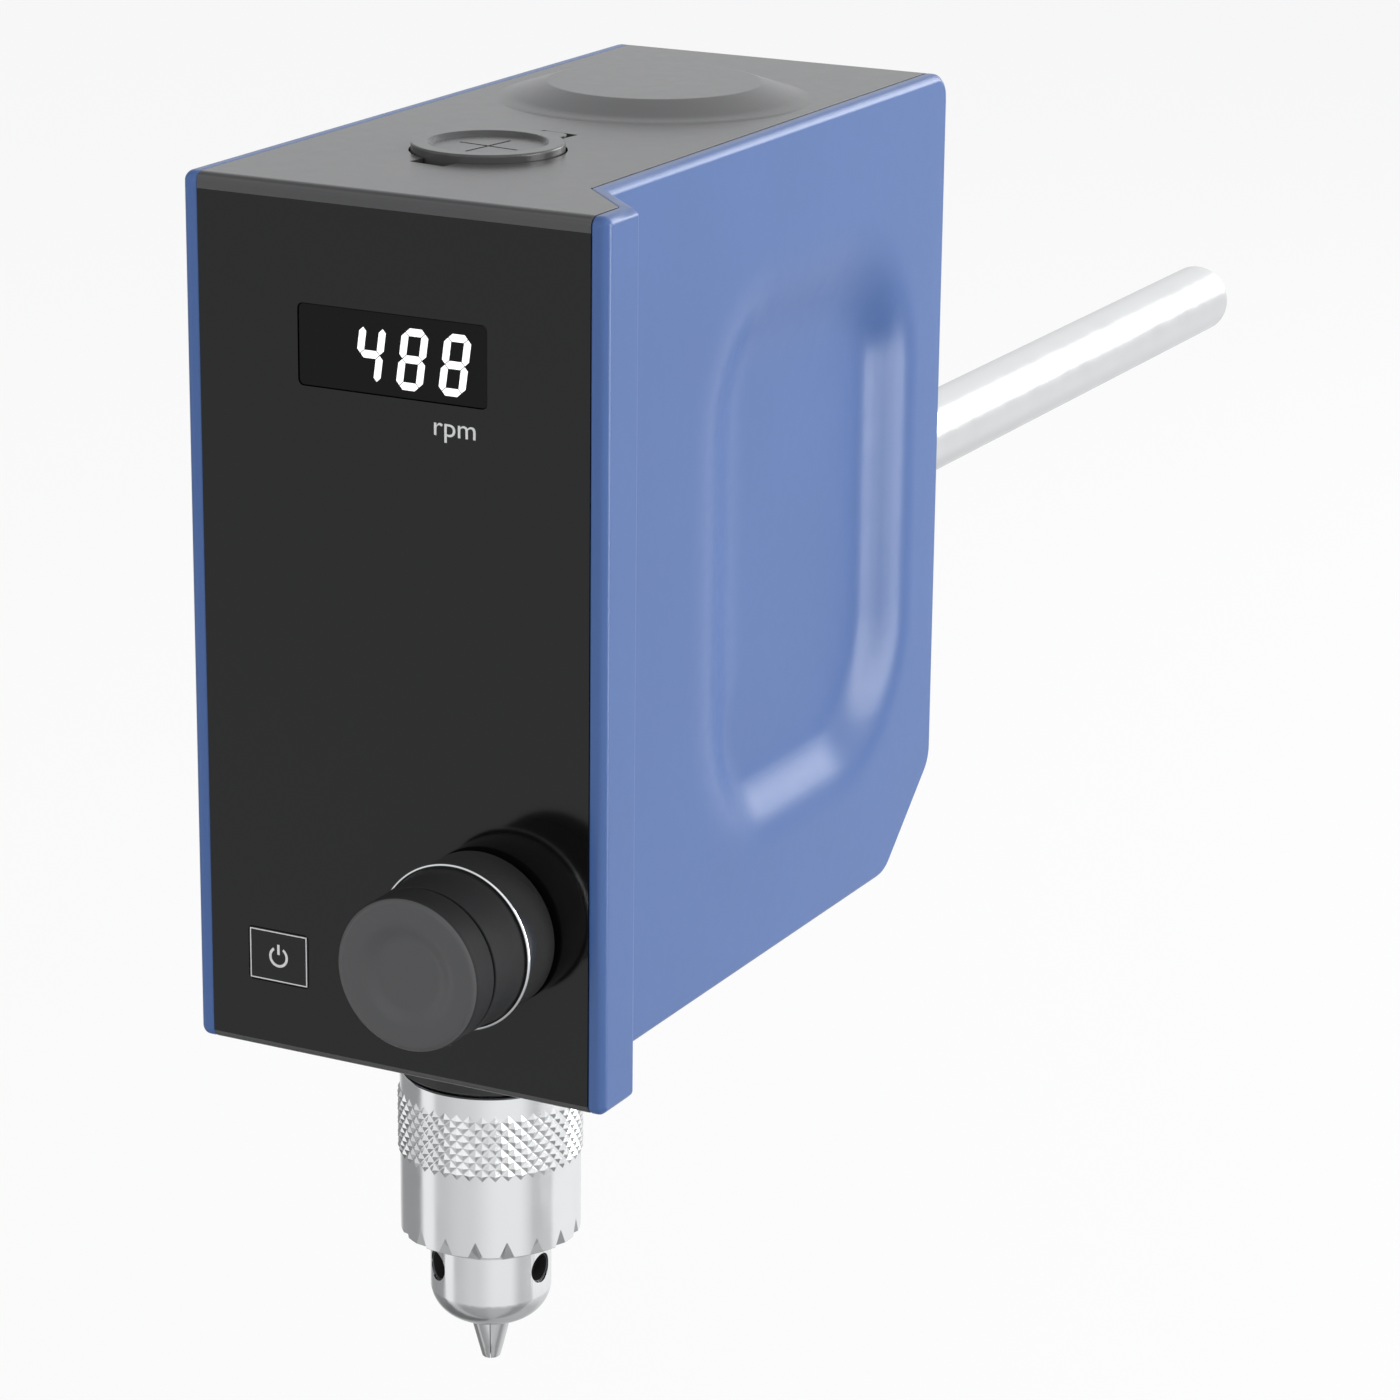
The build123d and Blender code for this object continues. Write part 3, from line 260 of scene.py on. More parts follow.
# ---------------------------------------------------------------- materials
class Nodes:
    """Short way to add and join shader nodes."""

    def __init__(self, name):
        self.material = bpy.data.materials.new(name)
        self.material.use_nodes = True
        self.tree = self.material.node_tree
        self.shader = self.tree.nodes["Principled BSDF"]
        self.place = self.tree.nodes.new("ShaderNodeTexCoord").outputs["Object"]

    def add(self, kind, inputs, **settings):
        return add_node(self.tree, kind, inputs, settings)

    def stretched(self, scale):
        """Object coordinates scaled apart along the three axes."""
        return self.add("ShaderNodeMapping", {"Vector": self.place, "Scale": scale}).outputs["Vector"]

    def noise(self, scale, detail=3.0, rough=0.55, vector=None):
        node = self.add("ShaderNodeTexNoise", {"Vector": vector or self.place, "Scale": scale,
                                               "Detail": detail, "Roughness": rough})
        return node.outputs["Fac"]

    def span(self, value, low, high):
        """The middle half of a noise stretched to run from low to high."""
        node = self.add("ShaderNodeMapRange", {"Value": value, "From Min": 0.25, "From Max": 0.75,
                                               "To Min": low, "To Max": high})
        return node.outputs["Result"]

    def shade(self, value, tint, spread):
        """The colour made a little lighter and darker by a pattern."""
        dark = tuple(c * (1 - spread) for c in tint) + (1,)
        light = tuple(min(1, c * (1 + spread)) for c in tint) + (1,)
        mix = self.add("ShaderNodeMix", {"Factor": value}, data_type="RGBA")
        mix.inputs[6].default_value = dark
        mix.inputs[7].default_value = light
        self.tree.links.new(mix.outputs[2], self.shader.inputs["Base Color"])

    def bump(self, height, strength, distance):
        node = self.add("ShaderNodeBump", {"Height": height, "Strength": strength, "Distance": distance * MM})
        self.tree.links.new(node.outputs["Normal"], self.shader.inputs["Normal"])

    def roughness(self, value):
        self.tree.links.new(value, self.shader.inputs["Roughness"])

    def plain(self, **values):
        for key, value in values.items():
            self.shader.inputs[key.replace("_", " ")].default_value = value

    def uneven(self, tint, mottle, gloss, rough):
        """Mottling of a scale and spread, and gloss that varies at a scale between two roughnesses."""
        self.shade(self.span(self.noise(*mottle[:2]), 0.0, 1.0), tint, mottle[2])
        self.roughness(self.span(self.noise(*gloss), *rough))


def moulded(name, tint, grain=0.012, rough=(0.38, 0.5), specular=0.5, coat=0.0):
    """Moulded or lacquered plastic: fine grain, slight mottling and uneven gloss."""
    n = Nodes(name)
    n.uneven(tint, (28.0, 3.0, 0.035), (420.0, 3.0), rough)
    n.bump(n.noise(2600.0, 4.0, 0.6), 0.55, grain)
    n.plain(Specular_IOR_Level=specular, Coat_Weight=coat, Coat_Roughness=0.2)
    return n.material


def glossy(name, tint, rough=(0.06, 0.11), grain=0.002, specular=0.5):
    """Smooth film or polished plastic with faint waviness and wiping marks."""
    n = Nodes(name)
    wipe = n.noise(60.0, 5.0, 0.65, n.stretched((1.0, 1.0, 3.0)))
    n.shade(n.span(n.noise(35.0, 2.0), 0.0, 1.0), tint, 0.06)
    n.roughness(n.span(wipe, *rough))
    n.bump(n.noise(300.0, 2.0), 0.3, grain)
    n.plain(Specular_IOR_Level=specular)
    return n.material


def turned_metal(name, tint, rough=(0.12, 0.22), rings=5200.0, depth=0.0035, along="Z"):
    """Turned or ground metal: fine rings round the axis, uneven gloss and faint handling marks."""
    n = Nodes(name)
    scale = {"Z": (0.02, 0.02, 1.0), "Y": (0.02, 1.0, 0.02)}[along]     # fine along the axis only
    lines = n.noise(rings, 3.0, 0.6, n.stretched(scale))
    marks = n.noise(140.0, 4.0, 0.6)
    n.shade(n.span(marks, 0.0, 1.0), tint, 0.03)
    n.roughness(n.span(marks, *rough))
    n.bump(lines, 0.5, depth)
    n.plain(Metallic=1.0)
    return n.material


def cast_metal(name, tint, rough=(0.42, 0.62), grain=0.03):
    """Cast or blasted metal."""
    n = Nodes(name)
    n.uneven(tint, (90.0, 3.0, 0.08), (300.0, 2.0), rough)
    n.bump(n.noise(1500.0, 4.0), 0.6, grain)
    n.plain(Metallic=1.0)
    return n.material


def soft_rubber(name, tint):
    """Matt rubber with a fine grain."""
    n = Nodes(name)
    n.uneven(tint, (200.0, 3.0, 0.12), (500.0, 2.0), (0.7, 0.9))
    n.bump(n.noise(2200.0, 3.0), 0.6, 0.02)
    return n.material


def circuit_board(name, tint):
    """Green board with lighter tracks."""
    n = Nodes(name)
    tracks = n.add("ShaderNodeTexBrick", {"Vector": n.place, "Scale": 260.0, "Mortar Size": 0.03}, offset=0.37)
    n.shade(tracks.outputs["Fac"], tint, 0.35)
    n.roughness(n.span(n.noise(200.0, 2.0), 0.25, 0.4))
    n.bump(tracks.outputs["Fac"], 0.4, 0.03)
    return n.material


def lit_figures(name, tint):
    """Lit figures: a faintly uneven white that glows."""
    n = Nodes(name)
    n.uneven(tint, (900.0, 2.0, 0.03), (500.0, 2.0), (0.35, 0.45))
    n.plain(Emission_Color=tuple(tint) + (1,), Emission_Strength=0.55)
    return n.material


def printed(name, tint):
    """Printed ink, slightly uneven."""
    n = Nodes(name)
    n.uneven(tint, (1200.0, 2.0, 0.06), (700.0, 2.0), (0.4, 0.55))
    n.bump(n.noise(2500.0, 2.0), 0.3, 0.004)
    return n.material


FINISH = {}


class STIRRER_OT_finishes(bpy.types.Operator):
    """Make the finishes and put each on the CAD nodes of its slot"""
    bl_idname = "stirrer.finishes"
    bl_label = "Finishes"

    def execute(self, context):
        c = colours()
        # Copy of the knob colour darkened to 0.35 for the grip and the cap's sides: painted shade for faces
        # turned away from the front light.
        knob_shaded_side = tuple(0.35 * v for v in c.knob)
        arm_steel = tuple(0.84 * v for v in c.steel)
        FINISH.update({
            "casing_blue": moulded("casing_blue", tuple(c.casing), 0.002, (0.32, 0.37), coat=0.1),
            "cover_grey": moulded("cover_grey", tuple(c.cover), 0.0012, (0.25, 0.27)),
            "film_black": glossy("film_black", tuple(c.film), (0.09, 0.12), 0.0004),
            "window_smoke": glossy("window_smoke", (0.003, 0.003, 0.0033), (0.03, 0.06), 0.0006, 0.2),
            "knob_grey": moulded("knob_grey", tuple(c.knob), 0.004, (0.34, 0.42)),
            "knob_shaded_side": moulded("knob_shaded_side", knob_shaded_side, 0.004, (0.5, 0.6), 0.1),
            "knob_black": glossy("knob_black", (0.03, 0.03, 0.03), (0.1, 0.16)),
            "chrome_trim": turned_metal("chrome_trim", (0.86, 0.87, 0.88), (0.05, 0.1), 4000.0, 0.001, "Y"),
            "chuck_steel": turned_metal("chuck_steel", tuple(c.steel)),
            "arm_steel": turned_metal("arm_steel", arm_steel, (0.18, 0.28), 3000.0, 0.003, "Y"),
            "nose_dark": moulded("nose_dark", (0.02, 0.02, 0.021), 0.01, (0.35, 0.5)),
            "frame_metal": cast_metal("frame_metal", (0.62, 0.62, 0.64)),
            "motor_metal": cast_metal("motor_metal", (0.30, 0.30, 0.32), (0.3, 0.42), 0.01),
            "bearing_steel": turned_metal("bearing_steel", (0.68, 0.68, 0.70), (0.16, 0.26)),
            "seal_rubber": soft_rubber("seal_rubber", (0.02, 0.02, 0.02)),
            "belt_rubber": soft_rubber("belt_rubber", (0.03, 0.03, 0.03)),
            "board_green": circuit_board("board_green", (0.03, 0.16, 0.07)),
            "module_dark": moulded("module_dark", (0.04, 0.04, 0.045)),
            "part_black": moulded("part_black", (0.012, 0.012, 0.012), 0.01, (0.35, 0.5)),
            "screw_steel": turned_metal("screw_steel", (0.55, 0.55, 0.57), (0.25, 0.38)),
            "lit_figures": lit_figures("lit_figures", tuple(c.figures)),
            "front_print": printed("front_print", tuple(c.print)),
        })
        for part in frame["record"]["subparts"]:
            mesh = frame["nodes"][part["node"]].data
            mesh.materials.clear()
            mesh.materials.append(FINISH[part["material_slot"]])
        return {"FINISHED"}


# ---------------------------------------------------------------- mesh helpers
def slot_of(node):
    """Material slot of a CAD node."""
    return next(part["material_slot"] for part in frame["record"]["subparts"] if part["node"] == node)


def body_of(node):
    """Body that a CAD node rides on."""
    return next(body for body, nodes in frame["record"]["behaviour"]["bodies"].items() if node in nodes)


def new_object(name, data):
    """An object of a mesh, curve, lamp or camera, in the scene."""
    piece = bpy.data.objects.new(name, data)
    bpy.context.scene.collection.objects.link(piece)
    return piece


def clean(mesh, merge, thin=None):
    """The mesh's doubles merged up to a distance, faces of no width removed, and all faces turned outwards."""
    bm = bmesh.new()
    bm.from_mesh(mesh)
    bmesh.ops.remove_doubles(bm, verts=bm.verts, dist=merge * MM)
    if thin:
        bmesh.ops.dissolve_degenerate(bm, edges=bm.edges, dist=thin * MM)
    bmesh.ops.recalc_face_normals(bm, faces=bm.faces)
    bm.to_mesh(mesh)
    bm.free()


def mesh_object(name, points, faces, material, merge=MERGE, thin=None):
    """An object from points in millimetres, its faces turned outwards and smooth."""
    mesh = bpy.data.meshes.new(name)
    mesh.from_pydata([tuple(c * MM for c in p) for p in points], [], faces)
    clean(mesh, merge, thin)
    mesh.materials.append(material)
    smooth(mesh, SMOOTH_ANGLE)
    return new_object(name, mesh)


def smooth(mesh, angle):
    """Smooth shading, with edges sharper than an angle kept sharp."""
    mesh.shade_smooth()
    mesh.set_sharp_from_angle(angle=math.radians(angle))


def settle(piece):
    """The piece's modifiers made part of its mesh."""
    depsgraph = bpy.context.evaluated_depsgraph_get()
    mesh = bpy.data.meshes.new_from_object(piece.evaluated_get(depsgraph))
    piece.modifiers.clear()
    piece.data = mesh
    return piece


def rounded_edges(piece, width, angle):
    """Sharp edges rounded by a small bevel, and flat faces shaded flat, both made part of the mesh."""
    bevel = piece.modifiers.new("edges", "BEVEL")
    bevel.width = width
    bevel.segments = 2
    bevel.limit_method = "ANGLE"
    bevel.angle_limit = math.radians(angle)
    bevel.miter_outer = "MITER_ARC"
    bevel.use_clamp_overlap = True
    settle(piece)
    smooth(piece.data, DRESSED_ANGLE)
    even = piece.modifiers.new("flat_faces", "WEIGHTED_NORMAL")
    even.mode = "FACE_AREA"
    even.weight = 100
    even.keep_sharp = True
    return settle(piece)


def joined(name, pieces):
    """Several objects as one piece."""
    bm = bmesh.new()
    for piece in pieces:
        bm.from_mesh(piece.data)
    mesh = bpy.data.meshes.new(name)
    bm.to_mesh(mesh)
    bm.free()
    for material in pieces[0].data.materials:
        mesh.materials.append(material)
    for piece in pieces:
        bpy.data.objects.remove(piece)
    return new_object(name, mesh)


def stand_for(piece, *nodes):
    """The piece is shown in place of CAD nodes, on their body."""
    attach(piece, body_of(nodes[0]))
    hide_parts(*nodes)


def on_body(piece, body):
    """The piece is an extra one on a body."""
    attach(piece, body)


def dressed(node, width=None, angle=34.0, shaped=None, flat=FLAT_ANGLE):
    """A CAD node's shape with its doubles merged, flat areas joined and edges rounded by a width in metres."""
    bm = bmesh.new()
    bm.from_mesh(frame["nodes"][node].data)
    bmesh.ops.remove_doubles(bm, verts=bm.verts, dist=MERGE * MM)
    bmesh.ops.dissolve_limit(bm, angle_limit=math.radians(flat), verts=bm.verts, edges=bm.edges)
    if shaped:
        shaped(bm)
    mesh = bpy.data.meshes.new(node + "_dressed")
    bm.to_mesh(mesh)
    bm.free()
    mesh.materials.append(FINISH[slot_of(node)])
    piece = new_object(node + "_dressed", mesh)
    return rounded_edges(piece, sizes().edge if width is None else width, angle)


def softened(points, radii, steps=5):
    """A line of points with its inner corners rounded; one radius for all, or one for each."""
    if not hasattr(radii, "__len__"):
        radii = [radii] * len(points)
    out = [points[0]]
    for before, corner, after, radius in zip(points, points[1:], points[2:], radii[1:]):
        a = Vector(before) - Vector(corner)
        b = Vector(after) - Vector(corner)
        turn = a.angle(b)
        if radius <= 0 or turn > math.radians(178):
            out.append(tuple(corner))
            continue
        cut = min(radius / math.tan(turn / 2), 0.48 * a.length, 0.48 * b.length)
        radius = cut * math.tan(turn / 2)
        bisector = (a.normalized() + b.normalized()).normalized()
        centre = Vector(corner) + bisector * (radius / math.sin(turn / 2))
        start = Vector(corner) + a.normalized() * cut - centre
        end = Vector(corner) + b.normalized() * cut - centre
        sweep = start.angle(end)
        for step in range(steps + 1):
            share = step / steps
            ray = (start * math.sin((1 - share) * sweep) + end * math.sin(share * sweep)) / math.sin(sweep)
            out.append(tuple(centre + ray))
    out.append(points[-1])
    return out


def lathe(name, profile, material, steps, place):
    """A turned piece: (radius, height) points in millimetres, turned round Z and then placed."""
    points = []
    for index in range(steps):
        turn = 2 * math.pi * index / steps
        for radius, height in profile:
            points.append(place @ Vector((radius * math.cos(turn), radius * math.sin(turn), height)))
    size = len(profile)
    faces = []
    for index in range(steps):
        first = index * size
        second = (index + 1) % steps * size
        for k in range(size):
            n = (k + 1) % size
            if n == 0 and profile[0][0] == profile[-1][0] == 0:
                continue
            faces.append((first + k, first + n, second + n, second + k))
    return mesh_object(name, points, faces, material, MERGE_TURNED, THIN_TURNED)


# ---------------------------------------------------------------- pieces
class STIRRER_OT_casing(bpy.types.Operator):
    """Side shells, covers and the frame behind the film, with rounded edges"""
    bl_idname = "stirrer.casing"
    bl_label = "Casing"

    def execute(self, context):
        for node in ("rear_cover", "base_cover", "front_frame"):
            stand_for(dressed(node), node)
        shell_edge = sizes().shell_edge
        stand_for(dressed("top_cover", flat=FINE_FLAT_ANGLE), "top_cover")
        stand_for(dressed("left_side_shell", shell_edge, shaped=left_recess), "left_side_shell")
        stand_for(dressed("right_side_shell", shell_edge, shaped=soft_recess), "right_side_shell")
        return {"FINISHED"}


def eased(value):
    """A smooth step from 0 to 1."""
    value = min(1.0, max(0.0, value))
    return value * value * value * (value * (6 * value - 15) + 10)


def recess_depth(y, z):
    """Depth from the distance to the recess's outline, whose corners are round."""
    front, back, low, high = RECESS_SLOPES
    across, across_slope = min((y - RECESS_Y[0], front), (RECESS_Y[1] - y, back))
    up, up_slope = min((z - RECESS_Z[0], low), (RECESS_Z[1] - z, high))
    a, b = max(0.0, RECESS_CORNER - across), max(0.0, RECESS_CORNER - up)
    if a == b == 0:
        return RECESS_DEPTH
    slope = (a * a * across_slope + b * b * up_slope) / (a * a + b * b)
    return RECESS_DEPTH * eased((RECESS_CORNER - math.hypot(a, b)) / slope)


def soft_recess(bm):
    """The recess cut out of the shell's side and made again as one smooth surface."""
    for axis, values in ((1, RECESS_Y), (2, RECESS_Z)):
        for value in values:
            faces = outer_faces(bm)
            geometry = set(faces)
            for face in faces:
                geometry.update(face.edges)
                geometry.update(face.verts)
            place, way = Vector(), Vector()
            place[axis] = value * MM
            way[axis] = 1
            bmesh.ops.bisect_plane(bm, geom=list(geometry), dist=1e-7, plane_co=place, plane_no=way)
    inside = [face for face in outer_faces(bm) if in_recess(face.calc_center_median())]
    bmesh.ops.delete(bm, geom=inside, context="FACES")
    border = [edge for edge in bm.edges if edge.is_boundary]
    corners = {vert for edge in border for vert in edge.verts}
    ys = recess_lines([v.co.y / MM for v in corners if not within(v.co.z, RECESS_Z, 0.01)], RECESS_Y)
    zs = recess_lines([v.co.z / MM for v in corners if not within(v.co.y, RECESS_Y, 0.01)], RECESS_Z)
    for edge in border:
        start, end = (vert.co.copy() for vert in edge.verts)
        axis, lines = (1, ys) if abs(start.y - end.y) > abs(start.z - end.z) else (2, zs)
        low, high = sorted((start[axis] / MM, end[axis] / MM))
        cuts = [line for line in lines if low + 0.005 < line < high - 0.005]
        forward = end[axis] - start[axis]
        if forward < 0:
            cuts.reverse()
        vert = edge.verts[0]
        for line in cuts:
            here = vert.co[axis]
            edge, vert = bmesh.utils.edge_split(edge, vert, (line * MM - here) / (end[axis] - here))
            edge = next(e for e in vert.link_edges if e.is_boundary
                        and (e.other_vert(vert).co[axis] - vert.co[axis]) * forward > 0)
    rows = [[bm.verts.new(((SIDE_X - recess_depth(y, z)) * MM, y * MM, z * MM)) for y in ys] for z in zs]
    for low_row, high_row in zip(rows, rows[1:]):
        for k in range(len(ys) - 1):
            bm.faces.new((low_row[k], low_row[k + 1], high_row[k + 1], high_row[k]))
    bmesh.ops.remove_doubles(bm, verts=bm.verts, dist=2 * MERGE * MM)
    bm.normal_update()


def left_recess(bm):
    """The same recess in the left shell, made on its mirror image."""
    mirror(bm)
    soft_recess(bm)
    mirror(bm)


def mirror(bm):
    """The mesh turned into its mirror image on the other side."""
    for vert in bm.verts:
        vert.co.x = -vert.co.x
    bmesh.ops.reverse_faces(bm, faces=bm.faces)


def outer_faces(bm):
    """Faces of the shell's outside, down to the recess's floor."""
    bm.normal_update()
    low, high = (SIDE_X - RECESS_DEPTH - 0.2) * MM, (SIDE_X + 0.01) * MM
    return [face for face in bm.faces
            if face.normal.x > 0.05 and all(low < v.co.x < high for v in face.verts)]


def within(value, ends, margin=0.0):
    """Whether a place in metres is between two ends in millimetres, clear of them by a margin."""
    return ends[0] + margin < value / MM < ends[1] - margin


def in_recess(point):
    """Whether a point is inside the recess's rectangle."""
    return within(point.y, RECESS_Y) and within(point.z, RECESS_Z)


def recess_lines(fixed, ends):
    """Even lines between two ends that take in the places that are already there."""
    lines = sorted(set(round(v, 4) for v in fixed) | set(ends))
    lines = [v for k, v in enumerate(lines) if k == 0 or v - lines[k - 1] > 2 * MERGE]
    steps = int((ends[1] - ends[0]) / RECESS_STEP)
    for k in range(1, steps):
        line = ends[0] + (ends[1] - ends[0]) * k / steps
        if min(abs(line - v) for v in lines) > LINE_GAP:
            lines.append(line)
    return sorted(lines)


class STIRRER_OT_front(bpy.types.Operator):
    """Film and window, the lit figures, the unit, and the key with its line and symbol"""
    bl_idname = "stirrer.front"
    bl_label = "Front"

    def execute(self, context):
        for node in ("front_film", "display_window", "power_key"):
            stand_for(dressed(node, FILM_EDGE * MM), node)
        on_body(make_figures("488"), "housing")
        on_body(make_unit("rpm"), "housing")
        on_body(make_key_marks(), "key")
        return {"FINISHED"}


def plates(name, outlines, front, material):
    """Thin plates from outlines of (x, z) points, as thick in front of a plane as behind it."""
    points = []
    faces = []
    for outline in outlines:
        first = len(points)
        size = len(outline)
        points += [(x, front - PRINT_DEPTH, z) for x, z in outline]
        points += [(x, front + PRINT_DEPTH, z) for x, z in outline]
        faces.append(tuple(range(first, first + size)))
        faces.append(tuple(range(first + size, first + 2 * size)))
        for k in range(size):
            n = (k + 1) % size
            faces.append((first + k, first + n, first + size + n, first + size + k))
    return mesh_object(name, points, faces, material)


def make_figures(text):
    """Slanting seven-segment figures, each segment with pointed ends."""
    z = sizes()
    width, height = (z.digit_width - z.stroke) / MM, (z.digit_height - z.stroke) / MM
    half, gap = z.stroke / MM / 2, z.segment_gap / MM / 2
    right = HIGH["display_window"][0] - z.digit_margin / MM - half
    low = LOW["display_window"][2] + z.digit_rise / MM + half
    outlines = []
    for place, figure in enumerate(reversed(text)):
        left = right - width - place * z.digit_pitch / MM
        for key in LIT[figure]:
            a, b = (Vector((left + u * width, v * height)) for u, v in SEGMENTS[key])
            run = (b - a).normalized()
            side = Vector((-run.y, run.x))
            start, end = a + run * gap, b - run * gap
            line = [start, start + run * half + side * half, end - run * half + side * half,
                    end, end - run * half - side * half, start + run * half - side * half]
            outlines.append([(p.x + (p.y - height / 2) * math.tan(z.digit_slant), low + p.y) for p in line])
    return plates("display_figures", outlines, LOW["display_window"][1] - PRINT_DEPTH, FINISH["lit_figures"])


def make_unit(text):
    """The unit under the window, as flat letters of a set width and height."""
    z = sizes()
    curve = bpy.data.curves.new("unit", "FONT")
    curve.body = text
    curve.extrude = PRINT_DEPTH
    lettering = new_object("unit_text", curve)
    mesh = bpy.data.meshes.new_from_object(lettering.evaluated_get(bpy.context.evaluated_depsgraph_get()))
    bpy.data.objects.remove(lettering)
    wide = max(v.co.x for v in mesh.vertices) - min(v.co.x for v in mesh.vertices)
    tall = max(v.co.y for v in mesh.vertices)
    left = min(v.co.x for v in mesh.vertices)
    right = (HIGH["display_window"][0] - UNIT_INSET) * MM
    base = (LOW["display_window"][2] - UNIT_DROP) * MM
    for v in mesh.vertices:
        x = right - z.unit_width + (v.co.x - left) / wide * z.unit_width
        v.co = (x, (FRONT - PRINT_DEPTH) * MM - v.co.z * MM, base + v.co.y / tall * z.unit_height)
    clean(mesh, 0.5 * MERGE)
    mesh.materials.clear()
    mesh.materials.append(FINISH["front_print"])
    return new_object("unit_print", mesh)


def arc(x, z, radius, start, end, steps):
    """Points on an arc, angles clockwise from the top."""
    out = []
    for step in range(steps + 1):
        turn = math.radians(start + (end - start) * step / steps)
        out.append((x + radius * math.sin(turn), z + radius * math.cos(turn)))
    return out


def strip(name, outer, inner, closed=False):
    """A thin band between two lines of (x, z) points on the front, closed to a loop or with two ends."""
    size = len(outer)
    points = [(x, y, z) for line in (outer, inner) for y in (FRONT - 2 * PRINT_DEPTH, FRONT) for x, z in line]
    faces = []
    for k in range(size if closed else size - 1):
        n = (k + 1) % size
        rings = (0, size, 3 * size, 2 * size)
        for first, second in zip(rings, rings[1:] + rings[:1]):
            faces.append((first + k, first + n, second + n, second + k))
    if not closed:
        faces.append((0, size, 3 * size, 2 * size))
        faces.append((size - 1, 2 * size - 1, 4 * size - 1, 3 * size - 1))
    return mesh_object(name, points, faces, FINISH["front_print"])


def make_key_marks():
    """The line round the power key and its symbol."""
    z = sizes()
    line, outer, width = z.line / MM, z.symbol_radius / MM, z.symbol_line / MM
    frames = []
    for inset in (line, 2 * line):
        x0, x1 = LOW["power_key"][0] + inset, HIGH["power_key"][0] - inset
        z0, z1 = LOW["power_key"][2] + inset, HIGH["power_key"][2] - inset
        frames.append([(x0, z0), (x1, z0), (x1, z1), (x0, z1)])
    border = strip("key_line", *frames, closed=True)
    ring = strip("key_arc", arc(KEY_X, KEY_Z, outer, *ARC_OUTSIDE, ARC_STEPS),
                 arc(KEY_X, KEY_Z, outer - width, *ARC_INSIDE, ARC_STEPS))
    foot, top = KEY_Z + BAR_FOOT, KEY_Z + outer + BAR_RISE
    bar = strip("key_bar", *([(x, foot), (x, top)] for x in (KEY_X - width / 2, KEY_X + width / 2)))
    return joined("key_marks", [border, ring, bar])


class STIRRER_OT_knob(bpy.types.Operator):
    """Skirt, bright ring, grip and dished cap of the knob"""
    bl_idname = "stirrer.knob"
    bl_label = "Knob"

    def execute(self, context):
        back, front = ahead("knob_skirt")
        ring_end = ahead("knob_ring")[1]
        grip_end = ahead("knob_grip")[1]
        tip = ahead("knob_cap")[1]
        outer = radius_of("knob_skirt")
        ring = radius_of("knob_ring")
        grip = radius_of("knob_cap")
        inner = outer - SKIRT_WALL
        skirt = softened([(inner, back), (outer, back), (outer, front), (outer - SKIRT_RIM, front),
                          (SKIRT_HOLE, front)], SKIRT_ROUND)
        skirt += [(SKIRT_HOLE, front - SKIRT_WALL), (inner, front - SKIRT_WALL)]
        stand_for(turned_knob("knob_skirt_turned", skirt, "knob_black"), "knob_skirt")
        across, along = WIRE_RADIUS
        bead = [(ring - across + across * math.cos(t), ring_end - along + along * math.sin(t))
                for t in (2 * math.pi * k / WIRE_STEPS for k in range(WIRE_STEPS))]
        wire = turned_knob("ring_wire", bead, "chrome_trim")
        seat = ring_end - WIRE_SEAT
        web = turned_knob("ring_web", [(inner, front), (ring - along, front), (ring - along, seat),
                                       (inner, seat)], "knob_black")
        wire.data.materials.append(FINISH["knob_black"])
        stand_for(two_finishes("knob_ring_turned", wire, web), "knob_ring")
        deep, wide = GRIP_GROOVE
        foot = ring_end - along
        side = softened([(GRIP_HOLE, foot), (outer - GRIP_START, foot), (grip, grip_end - wide),
                         (grip - deep, grip_end - wide), (grip - deep, grip_end), (GRIP_MOUTH, grip_end)],
                        GRIP_ROUNDS)
        # The whole grip is in the darker copy of the knob colour, as painted shade.
        stand_for(turned_knob("knob_grip_turned", side, "knob_shaded_side"), "knob_grip")
        cap = turned_knob("knob_cap_turned", cap_profile(grip, grip_end, tip), "knob_grey")
        # Cap faces that do not face along the knob's axis take the darker copy: painted shade on the cap's side.
        cap.data.materials.append(FINISH["knob_shaded_side"])
        for face in cap.data.polygons:
            face.material_index = int(abs(face.normal.y) < 0.5)
        stand_for(cap, "knob_cap")
        return {"FINISHED"}


def ahead(node):
    """Where a node starts and ends in front of the film."""
    return FRONT - HIGH[node][1], FRONT - LOW[node][1]


def radius_of(node):
    """Outer radius of a round node."""
    return (HIGH[node][0] - LOW[node][0]) / 2


def turned_knob(name, profile, finish):
    """A piece turned round the knob's axis, its heights in front of the film."""
    return lathe(name, profile, FINISH[finish], TURNED_STEPS, KNOB_PLACE)


def two_finishes(name, first, second):
    """Two objects as one piece, the second in the first's second finish."""
    for face in second.data.polygons:
        face.material_index = 1
    return joined(name, [first, second])


def cap_profile(radius, low, high):
    """The cap: a small roll at its back, a rounded rim and a shallow dish that starts softly."""
    reach = radius - CAP_RIM
    outside = softened([(0, low), (radius, low), (radius, high), (reach, high)], [0, CAP_ROLL, CAP_ROUND, 0], 8)
    for step in range(1, DISH_STEPS + 1):
        share = step / DISH_STEPS
        depth = DISH_DEPTH * (1 - math.cos(math.pi * min(1, share * DISH_SLOPE))) / 2
        outside.append((reach * (1 - share), high - depth))
    return outside


class STIRRER_OT_chuck(bpy.types.Operator):
    """Toothed sleeve with its knurl, body with the key holes and painted shade in them, jaws and the collar
    above
    """
    bl_idname = "stirrer.chuck"
    bl_label = "Chuck"

    def execute(self, context):
        stand_for(dressed("chuck_sleeve", SLEEVE_EDGE * MM, angle=20.0), "chuck_sleeve")
        stand_for(dressed("chuck_body", BODY_EDGE * MM, angle=25.0), "chuck_body")
        for node in ("chuck_jaw_1", "chuck_jaw_2", "chuck_jaw_3"):
            stand_for(dressed(node, JAW_EDGE * MM, angle=30.0), node)
        stand_for(dressed("base_plate", PLATE_EDGE * MM), "base_plate")
        on_body(make_knurl(), "sleeve")
        # Dark cups in the key holes: painted shade.
        on_body(make_key_hole_shade(), "spindle")
        return {"FINISHED"}


